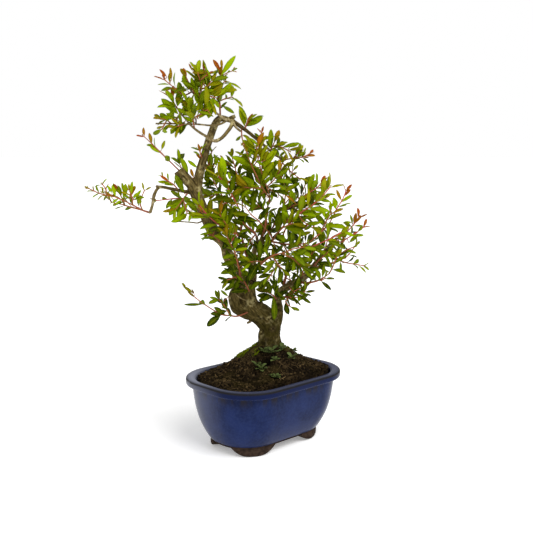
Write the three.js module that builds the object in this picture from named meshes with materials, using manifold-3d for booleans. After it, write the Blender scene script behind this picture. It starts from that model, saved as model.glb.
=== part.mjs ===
// A pomegranate grown as a bonsai, in a glazed stoneware pot.
// Millimetres, +Z up. The origin is on the ground, under the middle of the whole plant's box.
import * as THREE from "three";
import { mergeVertices } from "three/addons/utils/BufferGeometryUtils.js";
import Module from "manifold-3d";

const wasm = await Module();
wasm.setup();

// ---- Driving dimensions ----

const POT_CENTRE = [27, -29]; // where the pot stands, from the origin
const POT_LENGTH = 252;
const POT_WIDTH = 185;
const POT_CORNER = 68; // plan radius of the corners at the rim
const CORNER_STEPS = 5;
const LENGTH_SHARE = 0.92; // of an inset, on the two short sides
const WIDTH_SHARE = 1.08; // of an inset, on the two long sides
const CORNER_SHARE = 0.52; // of an inset, off the corner radius

const BASE_Z = 14; // underside of the bowl, between the feet
const FLOOR_Z = 20; // floor inside

// The wall's outside from the base up, and its inside from the rim down: [inset, height]
const POT_OUTSIDE = [
  [34, BASE_Z], [29.5, 21], [22.5, 35], [17, 50], [12.5, 70], [9, 96],
  [9.5, 102], [1.5, 103.5], [0, 106], [0, 112.5], [1.6, 115],
];
const POT_INSIDE = [
  [11.5, 114], [14.5, 111], [18.5, 80], [24, 55], [31, 36], [42, FLOOR_Z],
];

const FOOT_DEPTH = 13; // from the foot's outer face to its inner one
const FOOT_START = 15; // degrees round the corner from the pot's short side
const FOOT_STRAIGHT = 10; // how far a foot runs on past the corner along the long side
const FOOT_TOP = 17;
const FOOT_BULGE = 1.5; // how far a foot stands out past the bowl's edge
const FOOT_BELLY = 0.45; // share of the foot's height where it does so
const FOOT_CHAMFER = 2.5; // from that edge in to the flat underside
const FOOT_STEPS = 6;
const FOOT_FLAT = 0.62; // share of a foot's run that touches the ground

const DRAIN_RADIUS = 8;
const DRAIN_SIDES = 12;
const DRAIN_PLACES = { left: -45, right: 45 };
const SCREEN_SIZE = 28;
const SCREEN_THICKNESS = 1;
const SCREEN_HOLES = 2; // each way
const SCREEN_HOLE = 9;

const SOIL_EDGE = 109; // height of the soil along the wall
const MOUND_HEIGHT = 51;
const MOUND_RADIUS = 62;
const MOUND_PLACE = [8, 4]; // across and away, from the pot's centre
const SOIL_RINGS = [0.88, 0.7, 0.53, 0.38, 0.2];
const SOIL_ROUGHNESS = 1.6;
const SOIL_CROWN = 4; // rise of the whole surface from the edge to the middle
const SOIL_MARGIN = 1.6; // ring at the wall where the soil has sunk away from it

const SEAT_GAP = 0.35; // between pieces that rest in or on each other
const WALL_GAP = 0.45; // between the soil and the sloping wall, measured level

// The tree is laid out as it is seen from its front: across to the right, away, and up, with the
// pot's centre as zero. The front is turned from the pot's long side by this angle.
const FRONT_TURN = -44;

// A stem's route starts inside the stem that it grows from, at a place counted in that stem's own
// points. The points are [across, away, up], and on old wood also the radius there.
const WOOD = {
  trunk: {
    sides: 9,
    route: [
      [8, 4, 137, 27], [8, 4, 150, 23], [10, 4, 162, 19], [11, 4, 176, 17], [11, 4, 189, 17],
      [5, 3, 202, 18], [-8, 2, 212, 16.5], [-25, 1, 220, 14], [-38, 1, 230, 12.5], [-41, 2, 243, 12],
      [-38, 4, 255, 11.5], [-38, 6, 268, 11], [-45, 8, 284, 10.6], [-56, 8, 302, 10.3], [-68, 7, 321, 10],
      [-80, 6, 339, 9.8], [-90, 4, 363, 9.6], [-100, 2, 386, 9.5], [-108, 0, 406, 9.6],
      [-116, -2, 421, 8.4], [-126, -3, 434, 7.8], [-135, -4, 444, 7.4],
    ],
  },
  shoulder: {
    from: "trunk", at: 4.6, root: 14, sides: 7,
    route: [
      [-11, -5, 217, 12], [-20, -6, 229, 10.5], [-23, -6, 242, 9.8], [-23, -5, 255, 9], [-21, -4, 268, 8.2],
      [-19, -2, 284, 6.6], [-18, 0, 302, 5.4], [-15, 0, 318, 4.6], [-6, -2, 329, 3.4],
    ],
  },
  right_stem: {
    from: "trunk", at: 4, root: 13, sides: 6,
    route: [
      [19, 4, 206, 10.5], [22, 4, 220, 8], [22, 4, 234, 7], [27, 5, 247, 6.6], [41, 6, 257, 6.4],
      [59, 8, 266, 6], [77, 10, 285, 5], [92, 12, 304, 4], [105, 14, 321, 3.2], [118, 15, 334, 2.2],
    ],
  },
  leader: {
    from: "trunk", at: 18, root: 8.6, sides: 7,
    route: [
      [-107, 1, 419, 7.6], [-103, 2, 440, 7], [-97, 3, 460, 6.7], [-91, 4, 481, 6.4], [-83, 4, 503, 6],
      [-77, 3, 518, 5.6], [-70, 1, 525, 5], [-59, 0, 524, 4.4], [-48, 0, 520, 3.8], [-36, 2, 512, 3.2],
      [-24, 4, 503, 2.8], [-8, 8, 490, 2.4], [6, 11, 478, 2.1], [19, 14, 467, 1.8], [35, 17, 460, 1.3],
    ],
  },
  arch_stub: {
    from: "leader", at: 8.2, root: 3.4, sides: 5,
    route: [[-50, -1, 527, 3.2], [-45, -2, 529, 2.7]],
  },
  pale_cross: {
    from: "leader", at: 8.6, root: 2.6, sides: 5,
    route: [
      [-59, -6, 523, 2.2], [-69, -10, 529, 1.9], [-80, -11, 537, 1.8], [-93, -10, 548, 1.6],
      [-104, -9, 557, 1.4], [-115, -8, 568, 1.1],
    ],
  },
  pale_cut: {
    from: "leader", at: 8.8, root: 2.4, sides: 5,
    route: [[-45, -7, 512, 2], [-37, -9, 505, 1.6]],
  },
  apex_twig: {
    from: "pale_cross", at: 3, root: 1.8, sides: 4,
    route: [[-78, -10, 556, 1.5], [-77, -9, 575, 1.3], [-78, -9, 587, 1]],
  },
  elbow: {
    from: "leader", at: 8.9, root: 3.3, sides: 5,
    route: [
      [-53, -7, 511, 3], [-65, -12, 496, 2.8], [-77, -14, 490, 2.8], [-89, -14, 496, 2.3],
      [-109, -13, 509, 1.9], [-124, -12, 525, 1.5], [-133, -11, 536, 1.1],
    ],
  },
  shelf: {
    from: "leader", at: 8.1, root: 2.2, sides: 4,
    route: [
      [-67, -8, 517, 1.7], [-82, -11, 514, 1.5], [-107, -12, 516, 1.4], [-126, -11, 516, 1.3],
      [-146, -9, 517, 1.3], [-170, -7, 517, 1.3],
    ],
  },
  left_branch: {
    from: "trunk", at: 18.1, root: 4, sides: 6,
    route: [
      [-128, -6, 411, 3], [-147, -8, 415, 2.6], [-164, -9, 418, 2.5], [-170, -9, 414, 2.4],
      [-175, -8, 404, 2.6], [-178, -7, 389, 2.3], [-182, -6, 377, 2.6],
    ],
  },
  left_knob: {
    from: "left_branch", at: 3, root: 2.4, sides: 4,
    route: [[-171, -9, 419, 2]],
  },
  bare_twig: {
    from: "trunk", at: 16.2, root: 1.8, sides: 4,
    route: [[-105, -6, 361, 1.2], [-117, -9, 362, 1.1], [-144, -12, 364, 0.9]],
  },
  trunk_stub: {
    from: "trunk", at: 13.8, root: 3.4, sides: 5,
    route: [[-70, -3, 321, 2.8]],
  },
  crook_spur: {
    from: "trunk", at: 6.3, root: 3.4, sides: 4,
    route: [[-22, -3, 201, 2.8], [-28, -4, 197, 1.4]],
  },
  saddle_stump: {
    from: "shoulder", at: 1, root: 6, sides: 5,
    route: [[-6, -8, 228, 4.4], [-7, -9, 233, 3.8]],
  },
  pruned_knot: {
    from: "shoulder", at: 4.8, root: 5.4, sides: 7,
    route: [[-20, -17, 266, 4.8]],
  },
  rise_limb: {
    from: "shoulder", at: 8.8, root: 3, sides: 5,
    route: [[-3, -9, 341, 2.5]],
  },
  fork_limb: {
    from: "shoulder", at: 8.3, root: 3.4, sides: 5,
    route: [[6, 3, 342, 2.9], [12, 5, 350, 2.5]],
  },
  reach_limb: {
    from: "shoulder", at: 8.9, root: 3, sides: 5,
    route: [[7, -9, 330, 2.5]],
  },
  left_limb: {
    from: "shoulder", at: 8.6, root: 2.8, sides: 5,
    route: [[-12, -8, 338, 2.3]],
  },
  front_twig: {
    from: "shoulder", at: 2.4, root: 1.6, sides: 4,
    route: [[-36, -18, 240, 1.1], [-52, -20, 253, 0.8]],
  },
};

const SHOOTS = {
  apex: {
    from: "leader", at: 7.1, pairs: 3, leaf: 27, radius: [1.8, 1],
    route: [[-70, -3, 552], [-71, -4, 572], [-68, -5, 593]],
    blade: { at: 2.8, tip: [-44, -2, 623] },
  },
  apex_right: {
    from: "apex", at: 2, pairs: 1, leaf: 26,
    route: [[-66, 0, 578], [-61, 3, 583]],
  },
  apex_low: {
    from: "apex", at: 1, pairs: 1, leaf: 24,
    route: [[-61, 3, 556], [-50, 6, 559]],
  },
  apex_whisker: {
    from: "apex", at: 2.8, pairs: 1, leaf: 12, radius: [1.1, 0.9],
    route: [[-58, -3, 595], [-48, -1, 599]],
  },
  top_left_outer: {
    from: "pale_cross", at: 5.8, pairs: 3, leaf: 24,
    route: [[-125, -12, 561], [-140, -14, 572], [-156, -15, 585]],
  },
  top_left_inner: {
    from: "pale_cross", at: 5.2, pairs: 2, leaf: 27,
    route: [[-115, -13, 576], [-121, -16, 588]],
  },
  top_middle: {
    from: "apex_twig", at: 3, pairs: 2, leaf: 29,
    route: [[-83, -14, 590], [-90, -18, 595]],
  },
  top_front: {
    from: "pale_cross", at: 4.8, pairs: 3, leaf: 31,
    route: [[-99, -18, 568], [-99, -23, 581], [-102, -25, 594]],
  },
  top_front_side: {
    from: "top_front", at: 1, pairs: 1, leaf: 30,
    route: [[-88, -25, 573], [-80, -29, 582]],
  },
  top_back: {
    from: "apex_twig", at: 1.6, pairs: 2, leaf: 28,
    route: [[-87, 3, 569], [-96, 11, 579], [-102, 15, 592]],
  },
  elbow_tip: {
    from: "elbow", at: 6.9, pairs: 2, leaf: 34,
    route: [[-139, -14, 546], [-144, -15, 556]],
  },
  elbow_middle: {
    from: "elbow", at: 5, pairs: 3, leaf: 32,
    route: [[-111, -19, 524], [-114, -21, 536], [-120, -22, 549]],
  },
  elbow_side: {
    from: "elbow_middle", at: 1, pairs: 1, leaf: 35,
    route: [[-98, -24, 531], [-87, -26, 538]],
  },
  shelf_under: {
    from: "shelf", at: 4, pairs: 2, leaf: 24,
    route: [[-130, -16, 514], [-139, -19, 511]],
  },
  shelf_end: {
    from: "shelf", at: 5, pairs: 2, leaf: 22,
    route: [[-152, -12, 522], [-163, -13, 525]],
  },
  shelf_end_low: {
    from: "shelf_end", at: 1, pairs: 1, leaf: 20,
    route: [[-157, -15, 513], [-160, -17, 507]],
  },
  shelf_back: {
    from: "shelf", at: 3, pairs: 2, leaf: 26,
    route: [[-108, 0, 524], [-117, 9, 531], [-126, 13, 537]],
  },
  arch_knee: {
    from: "leader", at: 10.4, pairs: 1, leaf: 30,
    route: [[-28, -3, 515], [-25, -6, 524]],
  },
  arch_drop: {
    from: "leader", at: 10, pairs: 1, leaf: 25,
    route: [[-35, -7, 496], [-31, -13, 482], [-27, -16, 471]],
  },
  arch_middle: {
    from: "leader", at: 12.3, pairs: 2, leaf: 17,
    route: [[-3, 4, 494], [-5, 2, 505]],
  },
  arch_crown: {
    from: "leader", at: 13.3, pairs: 2, leaf: 27,
    route: [[13, 5, 482], [17, 2, 490]],
  },
  arch_tip: {
    from: "leader", at: 14.9, pairs: 3, leaf: 22,
    route: [[47, 16, 463], [62, 14, 465], [74, 12, 471]],
  },
  arch_tip_up: {
    from: "arch_tip", at: 1, pairs: 2, leaf: 22,
    route: [[53, 12, 470], [58, 10, 475]],
  },
  arch_under: {
    from: "leader", at: 14.3, pairs: 2, leaf: 25,
    route: [[34, 21, 450], [46, 25, 439], [58, 29, 430]],
  },
  centre_rise: {
    from: "shoulder", at: 8.8, radius: [2.2, 1.5],
    route: [[1, -14, 353], [4, -18, 379], [9, -20, 403]],
  },
  pink_left: {
    from: "centre_rise", at: 2.9, pairs: 3, leaf: 32,
    route: [[-2, -33, 417], [-13, -41, 439], [-22, -45, 459], [-27, -46, 474]],
  },
  pink_left_side: {
    from: "pink_left", at: 1, pairs: 3, leaf: 34,
    route: [[-18, -38, 418], [-31, -41, 419]],
  },
  pink_right: {
    from: "centre_rise", at: 3, pairs: 4, leaf: 37,
    route: [[4, -29, 419], [-4, -36, 442], [-10, -40, 465], [-12, -41, 480]],
  },
  pink_right_side: {
    from: "pink_right", at: 1, pairs: 3, leaf: 32,
    route: [[15, -35, 430], [24, -38, 444]],
  },
  centre_front: {
    from: "centre_rise", at: 1, pairs: 2, leaf: 33,
    route: [[-9, -28, 366], [-21, -36, 377], [-30, -40, 390]],
  },
  centre_fork: {
    from: "shoulder", at: 8.3, radius: [2.2, 1.3],
    route: [[6, 3, 342], [14, 5, 353], [22, 7, 371], [31, 9, 387], [44, 11, 403]],
  },
  centre_up: {
    from: "centre_fork", at: 4.8, pairs: 3, leaf: 25,
    route: [[34, 4, 419], [26, 0, 438], [29, -3, 457]],
  },
  right_upper: {
    from: "centre_fork", at: 5, pairs: 4, leaf: 25,
    route: [[57, 3, 400], [70, -1, 408], [83, -4, 416], [91, -5, 425]],
  },
  back_centre_top: {
    from: "centre_fork", at: 4.1, pairs: 3, leaf: 26,
    route: [[35, 22, 407], [40, 32, 426], [47, 38, 444]],
  },
  centre_middle: {
    from: "centre_fork", at: 3, pairs: 3, leaf: 29,
    route: [[33, -5, 380], [44, -11, 388], [55, -15, 393]],
  },
  centre_reach: {
    from: "shoulder", at: 8.9, radius: [2.1, 1.3],
    route: [[12, -11, 331], [31, -16, 328], [52, -20, 328], [70, -24, 330]],
  },
  right_long: {
    from: "centre_reach", at: 2, pairs: 4, leaf: 34, radius: [1.7, 1],
    route: [[32, -27, 350], [53, -37, 376], [75, -43, 392], [92, -46, 408], [102, -47, 420]],
  },
  right_sweep: {
    from: "centre_reach", at: 3, pairs: 3, leaf: 33, radius: [1.7, 1],
    route: [[68, -32, 324], [87, -41, 332], [105, -46, 341], [120, -49, 350]],
  },
  right_tall: {
    from: "centre_reach", at: 4, pairs: 3, leaf: 25,
    route: [[89, -18, 346], [104, -13, 362], [115, -9, 383], [125, -6, 399], [130, -5, 412]],
  },
  centre_low: {
    from: "centre_reach", at: 1.9, pairs: 2, leaf: 27,
    route: [[37, -28, 317], [46, -36, 306]],
  },
  centre_long: {
    from: "centre_reach", at: 1, pairs: 3, leaf: 35,
    route: [[21, -24, 346], [32, -33, 357], [45, -38, 363]],
  },
  centre_left: {
    from: "shoulder", at: 8.6, radius: [1.9, 1.3],
    route: [[-14, -10, 343], [-26, -16, 355], [-33, -19, 362], [-37, -22, 373]],
  },
  left_red: {
    from: "centre_left", at: 4, pairs: 4, leaf: 33,
    route: [[-41, -33, 389], [-50, -39, 407], [-61, -42, 424], [-70, -43, 436]],
  },
  back_right: {
    from: "shoulder", at: 7, radius: [3, 1.2],
    route: [[-3, 18, 311], [14, 36, 329], [32, 52, 351], [48, 64, 370]],
  },
  back_right_top: {
    from: "back_right", at: 3, pairs: 3, leaf: 27,
    route: [[46, 57, 374], [59, 60, 397], [69, 61, 420]],
  },
  back_right_tip: {
    from: "back_right", at: 4, pairs: 3, leaf: 27,
    route: [[66, 67, 380], [85, 68, 390], [101, 68, 397]],
  },
  back_right_low: {
    from: "back_right", at: 1.3, pairs: 2, leaf: 26,
    route: [[9, 30, 298], [21, 38, 287]],
  },
  back_left: {
    from: "shoulder", at: 6, radius: [3, 1.2],
    route: [[-29, 18, 306], [-36, 36, 329], [-39, 50, 354], [-36, 60, 380]],
  },
  back_left_top: {
    from: "back_left", at: 3.9, pairs: 4, leaf: 27,
    route: [[-38, 61, 400], [-41, 59, 419], [-46, 55, 439]],
  },
  back_left_side: {
    from: "back_left", at: 3, pairs: 3, leaf: 27,
    route: [[-51, 54, 367], [-64, 56, 380], [-74, 56, 394]],
  },
  back_left_low: {
    from: "back_left", at: 1.2, pairs: 2, leaf: 25,
    route: [[-42, 28, 316], [-54, 34, 326]],
  },
  front_low: {
    from: "shoulder", at: 5, radius: [3, 1.2],
    route: [[-15, -22, 284], [-2, -40, 302], [13, -56, 314], [32, -68, 321]],
  },
  front_low_tip: {
    from: "front_low", at: 4, pairs: 2, leaf: 29,
    route: [[45, -74, 327], [60, -79, 330]],
  },
  front_low_right: {
    from: "front_low", at: 3.7, pairs: 3, leaf: 26,
    route: [[44, -76, 312], [54, -81, 303]],
  },
  front_low_middle: {
    from: "front_low", at: 3, pairs: 2, leaf: 27,
    route: [[21, -63, 302], [30, -66, 292]],
  },
  front_low_left: {
    from: "front_low", at: 2, pairs: 3, leaf: 28,
    route: [[-11, -52, 305], [-22, -60, 305]],
  },
  front_left: {
    from: "trunk", at: 10.4, radius: [2.6, 1.2],
    route: [[-38, -18, 277], [-40, -34, 292], [-43, -47, 309]],
  },
  front_left_up: {
    from: "front_left", at: 3, pairs: 3, leaf: 29,
    route: [[-47, -52, 323], [-53, -54, 335], [-58, -55, 346]],
  },
  front_left_out: {
    from: "front_left", at: 1, pairs: 2, leaf: 25,
    route: [[-50, -26, 275], [-59, -30, 272]],
  },
  trunk_back: {
    from: "trunk", at: 16.2, radius: [3.2, 1.2],
    route: [[-78, 24, 376], [-62, 38, 391], [-46, 48, 411], [-33, 54, 430]],
  },
  trunk_back_tip: {
    from: "trunk_back", at: 4, pairs: 2, leaf: 25,
    route: [[-22, 50, 445], [-12, 45, 458], [-6, 40, 471]],
  },
  trunk_back_up: {
    from: "trunk_back", at: 3, pairs: 3, leaf: 25,
    route: [[-45, 42, 431], [-48, 37, 449], [-53, 33, 466]],
  },
  trunk_back_left: {
    from: "trunk_back", at: 2, pairs: 4, leaf: 25,
    route: [[-73, 37, 408], [-83, 35, 426], [-87, 33, 444]],
  },
  trunk_front: {
    from: "trunk", at: 13.9, radius: [2.6, 1.4],
    route: [[-53, -14, 333], [-40, -25, 344]],
  },
  trunk_front_red: {
    from: "trunk_front", at: 2, pairs: 3, leaf: 30,
    route: [[-55, -33, 349], [-74, -38, 363], [-91, -40, 379], [-100, -40, 391]],
  },
  trunk_front_side: {
    from: "trunk_front_red", at: 1, pairs: 3, leaf: 32,
    route: [[-61, -42, 364], [-69, -46, 378]],
  },
  trunk_side: {
    from: "trunk", at: 14, pairs: 1, leaf: 24,
    route: [[-74, -8, 335], [-82, -13, 341], [-89, -15, 344]],
  },
  trunk_low: {
    from: "trunk", at: 12, pairs: 1, leaf: 26,
    route: [[-51, -8, 294], [-54, -14, 300], [-56, -17, 303]],
  },
  leader_left: {
    from: "leader", at: 3, pairs: 1, leaf: 15,
    route: [[-100, -6, 468], [-102, -8, 477]],
  },
  leader_right: {
    from: "leader", at: 2.2, pairs: 2, leaf: 19,
    route: [[-92, 9, 448], [-86, 11, 462], [-84, 11, 474]],
  },
  stub_runner: {
    from: "trunk", at: 20.9, pairs: 2, leaf: 18, radius: [1.5, 0.9],
    route: [[-146, -6, 455], [-163, -8, 472], [-178, -9, 487], [-190, -9, 498]],
  },
  stub_tuft: {
    from: "trunk", at: 20, pairs: 1, leaf: 29,
    route: [[-132, 9, 446], [-136, 11, 455]],
  },
  limb_sprig: {
    from: "left_branch", at: 1.4, pairs: 2, leaf: 15,
    route: [[-143, -14, 422], [-152, -16, 428], [-161, -16, 436]],
  },
  limb_hanging: {
    from: "left_branch", at: 0.6, pairs: 2, leaf: 32,
    route: [[-128, -15, 399], [-134, -19, 390], [-140, -21, 383]],
  },
  limb_hanging_side: {
    from: "limb_hanging", at: 1, pairs: 1, leaf: 27,
    route: [[-124, -20, 385], [-121, -22, 376]],
  },
  limb_pink: {
    from: "trunk", at: 17.6, pairs: 2, leaf: 17,
    route: [[-138, 11, 399], [-158, 14, 397], [-175, 15, 395]],
  },
  left_spray: {
    from: "left_branch", at: 7, radius: [2, 1],
    route: [[-194, -6, 381], [-203, -7, 386], [-220, -9, 395], [-238, -11, 403]],
  },
  left_spray_back: {
    from: "left_spray", at: 1, radius: [1.6, 0.9],
    route: [[-215, 0, 386], [-230, 3, 390], [-245, 4, 393]],
  },
  left_spray_right: {
    from: "left_spray", at: 1, pairs: 2, leaf: 17,
    route: [[-197, -9, 392], [-193, -10, 405], [-189, -10, 414]],
  },
  left_spray_middle: {
    from: "left_spray", at: 2.4, pairs: 2, leaf: 18,
    route: [[-209, -14, 402], [-213, -17, 414]],
  },
  left_spray_out: {
    from: "left_spray", at: 4, pairs: 3, leaf: 14,
    route: [[-249, -12, 405], [-263, -12, 409], [-280, -12, 417]],
  },
  left_spray_up: {
    from: "left_spray_out", at: 1, pairs: 1, leaf: 13,
    route: [[-250, -15, 415], [-256, -16, 424]],
  },
  left_spray_inner: {
    from: "left_spray_back", at: 1.6, pairs: 2, leaf: 18,
    route: [[-229, 8, 400], [-236, 11, 412]],
  },
  left_spray_far: {
    from: "left_spray_back", at: 3, pairs: 2, leaf: 16,
    route: [[-250, 7, 401], [-256, 9, 409]],
  },
  right_tip: {
    from: "right_stem", at: 9.8, pairs: 3, leaf: 22,
    route: [[123, 4, 329], [132, -3, 335], [146, -10, 345], [160, -14, 356]],
  },
  right_tip_up: {
    from: "right_stem", at: 9.95, pairs: 2, leaf: 22,
    route: [[129, 19, 338], [140, 22, 349], [148, 23, 358], [155, 24, 368]],
  },
  right_side: {
    from: "right_stem", at: 8, radius: [2.2, 1.1],
    route: [[109, 2, 308], [126, -8, 314]],
  },
  right_reach: {
    from: "right_side", at: 1.2, pairs: 3, leaf: 20,
    route: [[120, -7, 301], [134, -13, 297], [148, -16, 295], [160, -17, 293]],
  },
  right_side_tip: {
    from: "right_side", at: 2, pairs: 2, leaf: 21,
    route: [[133, -12, 319], [143, -14, 323]],
  },
  right_low: {
    from: "right_stem", at: 5.8, radius: [2.6, 1.2],
    route: [[68, -8, 264], [87, -24, 271], [102, -36, 283]],
  },
  right_low_tip: {
    from: "right_low", at: 3, pairs: 2, leaf: 23,
    route: [[108, -41, 296], [113, -45, 312]],
  },
  right_low_under: {
    from: "right_low", at: 2, pairs: 2, leaf: 21,
    route: [[91, -32, 272], [97, -38, 277]],
  },
  right_back: {
    from: "right_stem", at: 7, radius: [2.6, 1.2],
    route: [[96, 24, 287], [117, 38, 292], [135, 48, 297]],
  },
  right_back_tip: {
    from: "right_back", at: 3, pairs: 2, leaf: 23,
    route: [[145, 50, 307], [153, 52, 319]],
  },
  right_back_up: {
    from: "right_back", at: 2, pairs: 2, leaf: 24,
    route: [[122, 44, 305], [126, 48, 319]],
  },
  back_low: {
    from: "right_stem", at: 4.3, radius: [2.8, 1.2],
    route: [[35, 26, 267], [44, 44, 288], [56, 58, 306]],
  },
  back_low_tip: {
    from: "back_low", at: 3, pairs: 2, leaf: 26,
    route: [[70, 62, 316], [83, 64, 328]],
  },
  back_low_right: {
    from: "back_low", at: 2, pairs: 2, leaf: 25,
    route: [[58, 52, 283], [71, 58, 282]],
  },
  back_low_under: {
    from: "back_low", at: 1, pairs: 2, leaf: 23,
    route: [[47, 38, 260], [59, 46, 255]],
  },
  low_right: {
    from: "right_stem", at: 3.4, radius: [2.2, 1.1],
    route: [[41, -10, 241], [55, -22, 243]],
  },
  low_right_tip: {
    from: "low_right", at: 2, pairs: 2, leaf: 22,
    route: [[60, -29, 250], [65, -33, 255]],
  },
  low_right_fan: {
    from: "low_right", at: 1, pairs: 2, leaf: 23,
    route: [[49, -22, 253], [59, -31, 260]],
  },
  low_centre: {
    from: "right_stem", at: 2.9, pairs: 3, leaf: 24,
    route: [[14, -15, 245], [4, -25, 252]],
    blade: { at: 1, tip: [16, -24, 206] },
  },
  lower_left: {
    from: "shoulder", at: 1.3, pairs: 2, leaf: 18, radius: [1.7, 0.9],
    route: [
      [-41, -18, 212], [-55, -20, 213], [-71, -21, 216], [-98, -21, 233], [-113, -21, 245],
      [-127, -21, 260],
    ],
  },
  lower_left_side: {
    from: "lower_left", at: 2, pairs: 2, leaf: 23,
    route: [[-63, -24, 229], [-73, -26, 241]],
  },
  limb_front: {
    from: "shoulder", at: 3.4, pairs: 2, leaf: 26,
    route: [[-26, -24, 258], [-32, -28, 270]],
  },
  right_front: {
    from: "right_stem", at: 6, pairs: 2, leaf: 27,
    route: [[63, -8, 285], [69, -15, 301], [76, -19, 314]],
  },
  right_middle: {
    from: "right_stem", at: 7.1, pairs: 2, leaf: 26,
    route: [[85, -6, 298], [93, -15, 307], [102, -21, 317]],
  },
  right_up: {
    from: "right_stem", at: 8, pairs: 3, leaf: 26,
    route: [[98, 5, 317], [102, 1, 333], [105, -1, 347]],
  },
  trunk_back_under: {
    from: "trunk_back_left", at: 1, pairs: 2, leaf: 28,
    route: [[-84, 30, 402], [-96, 30, 403]],
  },
  top_front_low: {
    from: "top_front", at: 1, pairs: 3, leaf: 29,
    route: [[-89, -20, 560], [-75, -20, 556]],
  },
  top_inner_side: {
    from: "top_front", at: 2, pairs: 1, leaf: 28,
    route: [[-91, -25, 588], [-80, -26, 593]],
  },
  front_low_drop: {
    from: "front_low_middle", at: 1, pairs: 2, leaf: 29,
    route: [[13, -58, 289], [4, -52, 274]],
  },
  low_right_drop: {
    from: "low_right", at: 1, pairs: 2, leaf: 25,
    route: [[34, -16, 234], [44, -22, 226]],
  },
  pink_right_low: {
    from: "pink_right", at: 1, pairs: 2, leaf: 33,
    route: [[16, -24, 411], [32, -24, 409]],
  },
  centre_left_low: {
    from: "centre_left", at: 1, pairs: 2, leaf: 31,
    route: [[-22, -14, 333], [-32, -20, 322]],
  },
  centre_rise_left: {
    from: "centre_rise", at: 2, pairs: 3, leaf: 33,
    route: [[-7, -16, 387], [-15, -10, 401]],
  },
  centre_rise_low: {
    from: "centre_rise", at: 1, pairs: 2, leaf: 29,
    route: [[10, -14, 342], [17, -18, 325]],
  },
  arch_crown_side: {
    from: "arch_crown", at: 1, pairs: 2, leaf: 27,
    route: [[26, 2, 481], [40, 2, 474]],
  },
  centre_middle_low: {
    from: "centre_middle", at: 2, pairs: 2, leaf: 32,
    route: [[57, -6, 377], [71, -2, 370]],
  },
  right_long_low: {
    from: "right_long", at: 2, pairs: 2, leaf: 33,
    route: [[62, -36, 365], [76, -36, 355]],
  },
  right_tall_side: {
    from: "right_tall", at: 1, pairs: 2, leaf: 29,
    route: [[97, -20, 363], [106, -20, 378]],
  },
  shelf_low_side: {
    from: "shelf_under", at: 1, pairs: 1, leaf: 27,
    route: [[-137, -8, 520], [-143, -8, 527]],
  },
  back_right_side: {
    from: "back_right", at: 3, pairs: 3, leaf: 30,
    route: [[44, 50, 344], [61, 50, 336]],
  },
};

// Short roots that leave the flare and go down into the soil: [direction, length, thickness]
const ROOTS = [[-14, 1, 1], [110, 0.9, 0.8], [205, 1.1, 1.1]];
const ROOT_HEIGHTS = [154, 143, 128];
const ROOT_REACH = [22, 36, 46];
const ROOT_RADII = [7.5, 5, 3];
const STOCK_ROUTE = [[8, 4, 118, 24], [8, 4, 96, 12]]; // the root stock, inside the soil
const STOCK_START = 19; // its radius where it starts, inside the trunk

const YOUNG_RADIUS = [1.4, 1]; // of a green stem, at its foot and its tip
const YOUNG_SIDES = 4;
const ROOT_SIDES = 5;
const GNARLED_RADIUS = 4; // old wood from this radius up is lumpy

// Waves round the girth of old wood: [lobes, turn for each point along, start, share of the radius]
const GNARLS = [[2, 1.3, 0, 0.05], [3, -0.9, 2, 0.04]];

const LEAF_WIDTH = 0.2; // half the width, as a share of the length
const LEAF_THICKNESS = 0.7;
const LEAF_STALK = 0.6; // half the width of the leaf's root
const LEAF_BAND = 1.6; // length of stem that a leaf grows out of
const BAND_ROOM = 20; // half bands between a pair and the stem's next point
const LEAF_CLEARANCE = 0.5;
const STALK_START = 0.04; // share of the leaf's length, just out of the stem
const BLADE_START = 0.16; // below this share, leaves of the same stem may touch
const TURN_TRIES = [0, 24, -24, 48, -48, 75, -75]; // degrees, when a leaf would cross something
const FIRST_PAIR = 0.3; // along the stem
const END_BUD = 2.6; // length of stem past the last pair

// A leaf's cross-sections: [place along it, share of its full width]
const LONG_LEAF = [[0.24, 0.65], [0.63, 1]];
const SHORT_LEAF = [[0.5, 1]];
const LONG_LENGTH = 34; // leaves from this length up have two sections

// How leaves stand: degrees from the stem, at its foot and at its tip, and the spread of the draws
const SPREAD = [62, 34];
const SPREAD_DRAW = 16;
const TWIST_DRAW = 24;
const LEAF_RISE = 0.12; // every leaf lifts its tip a little
const FACE_BACK = 0.7; // its upper face looks along the stem,
const FACE_IN = -0.5; // in towards it,
const FACE_VIEW = [0, -0.9, 0.4]; // and to the light and the front,
const FACE_DRAW = 0.6; // give or take
const LEAF_SIZES = [0.95, 1.25]; // shares of the shoot's leaf length
const LAST_SIZE = 0.66; // share of that at the stem's tip
const WIDTH_DRAW = [0.85, 1.2];
const MOST_DROOP = 0.2; // fall of the tip, as a share of the length
const LONE_WIDTH = 0.8; // share of the leaf width, on a leaf with a place of its own
const LONE_DROOP = 0.05;

// ---- Small tools ----

const radians = THREE.MathUtils.degToRad;
const mix = THREE.MathUtils.lerp;

// A number from 0 to 1 that looks random and is always the same for the same three seeds.
function chance(a, b, c) {
  const wave = Math.sin(a * 12.9898 + b * 78.233 + c * 37.719) * 43758.5453;
  return wave - Math.floor(wave);
}

function vector(values) {
  return new THREE.Vector3(values[0], values[1], values[2]);
}

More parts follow.
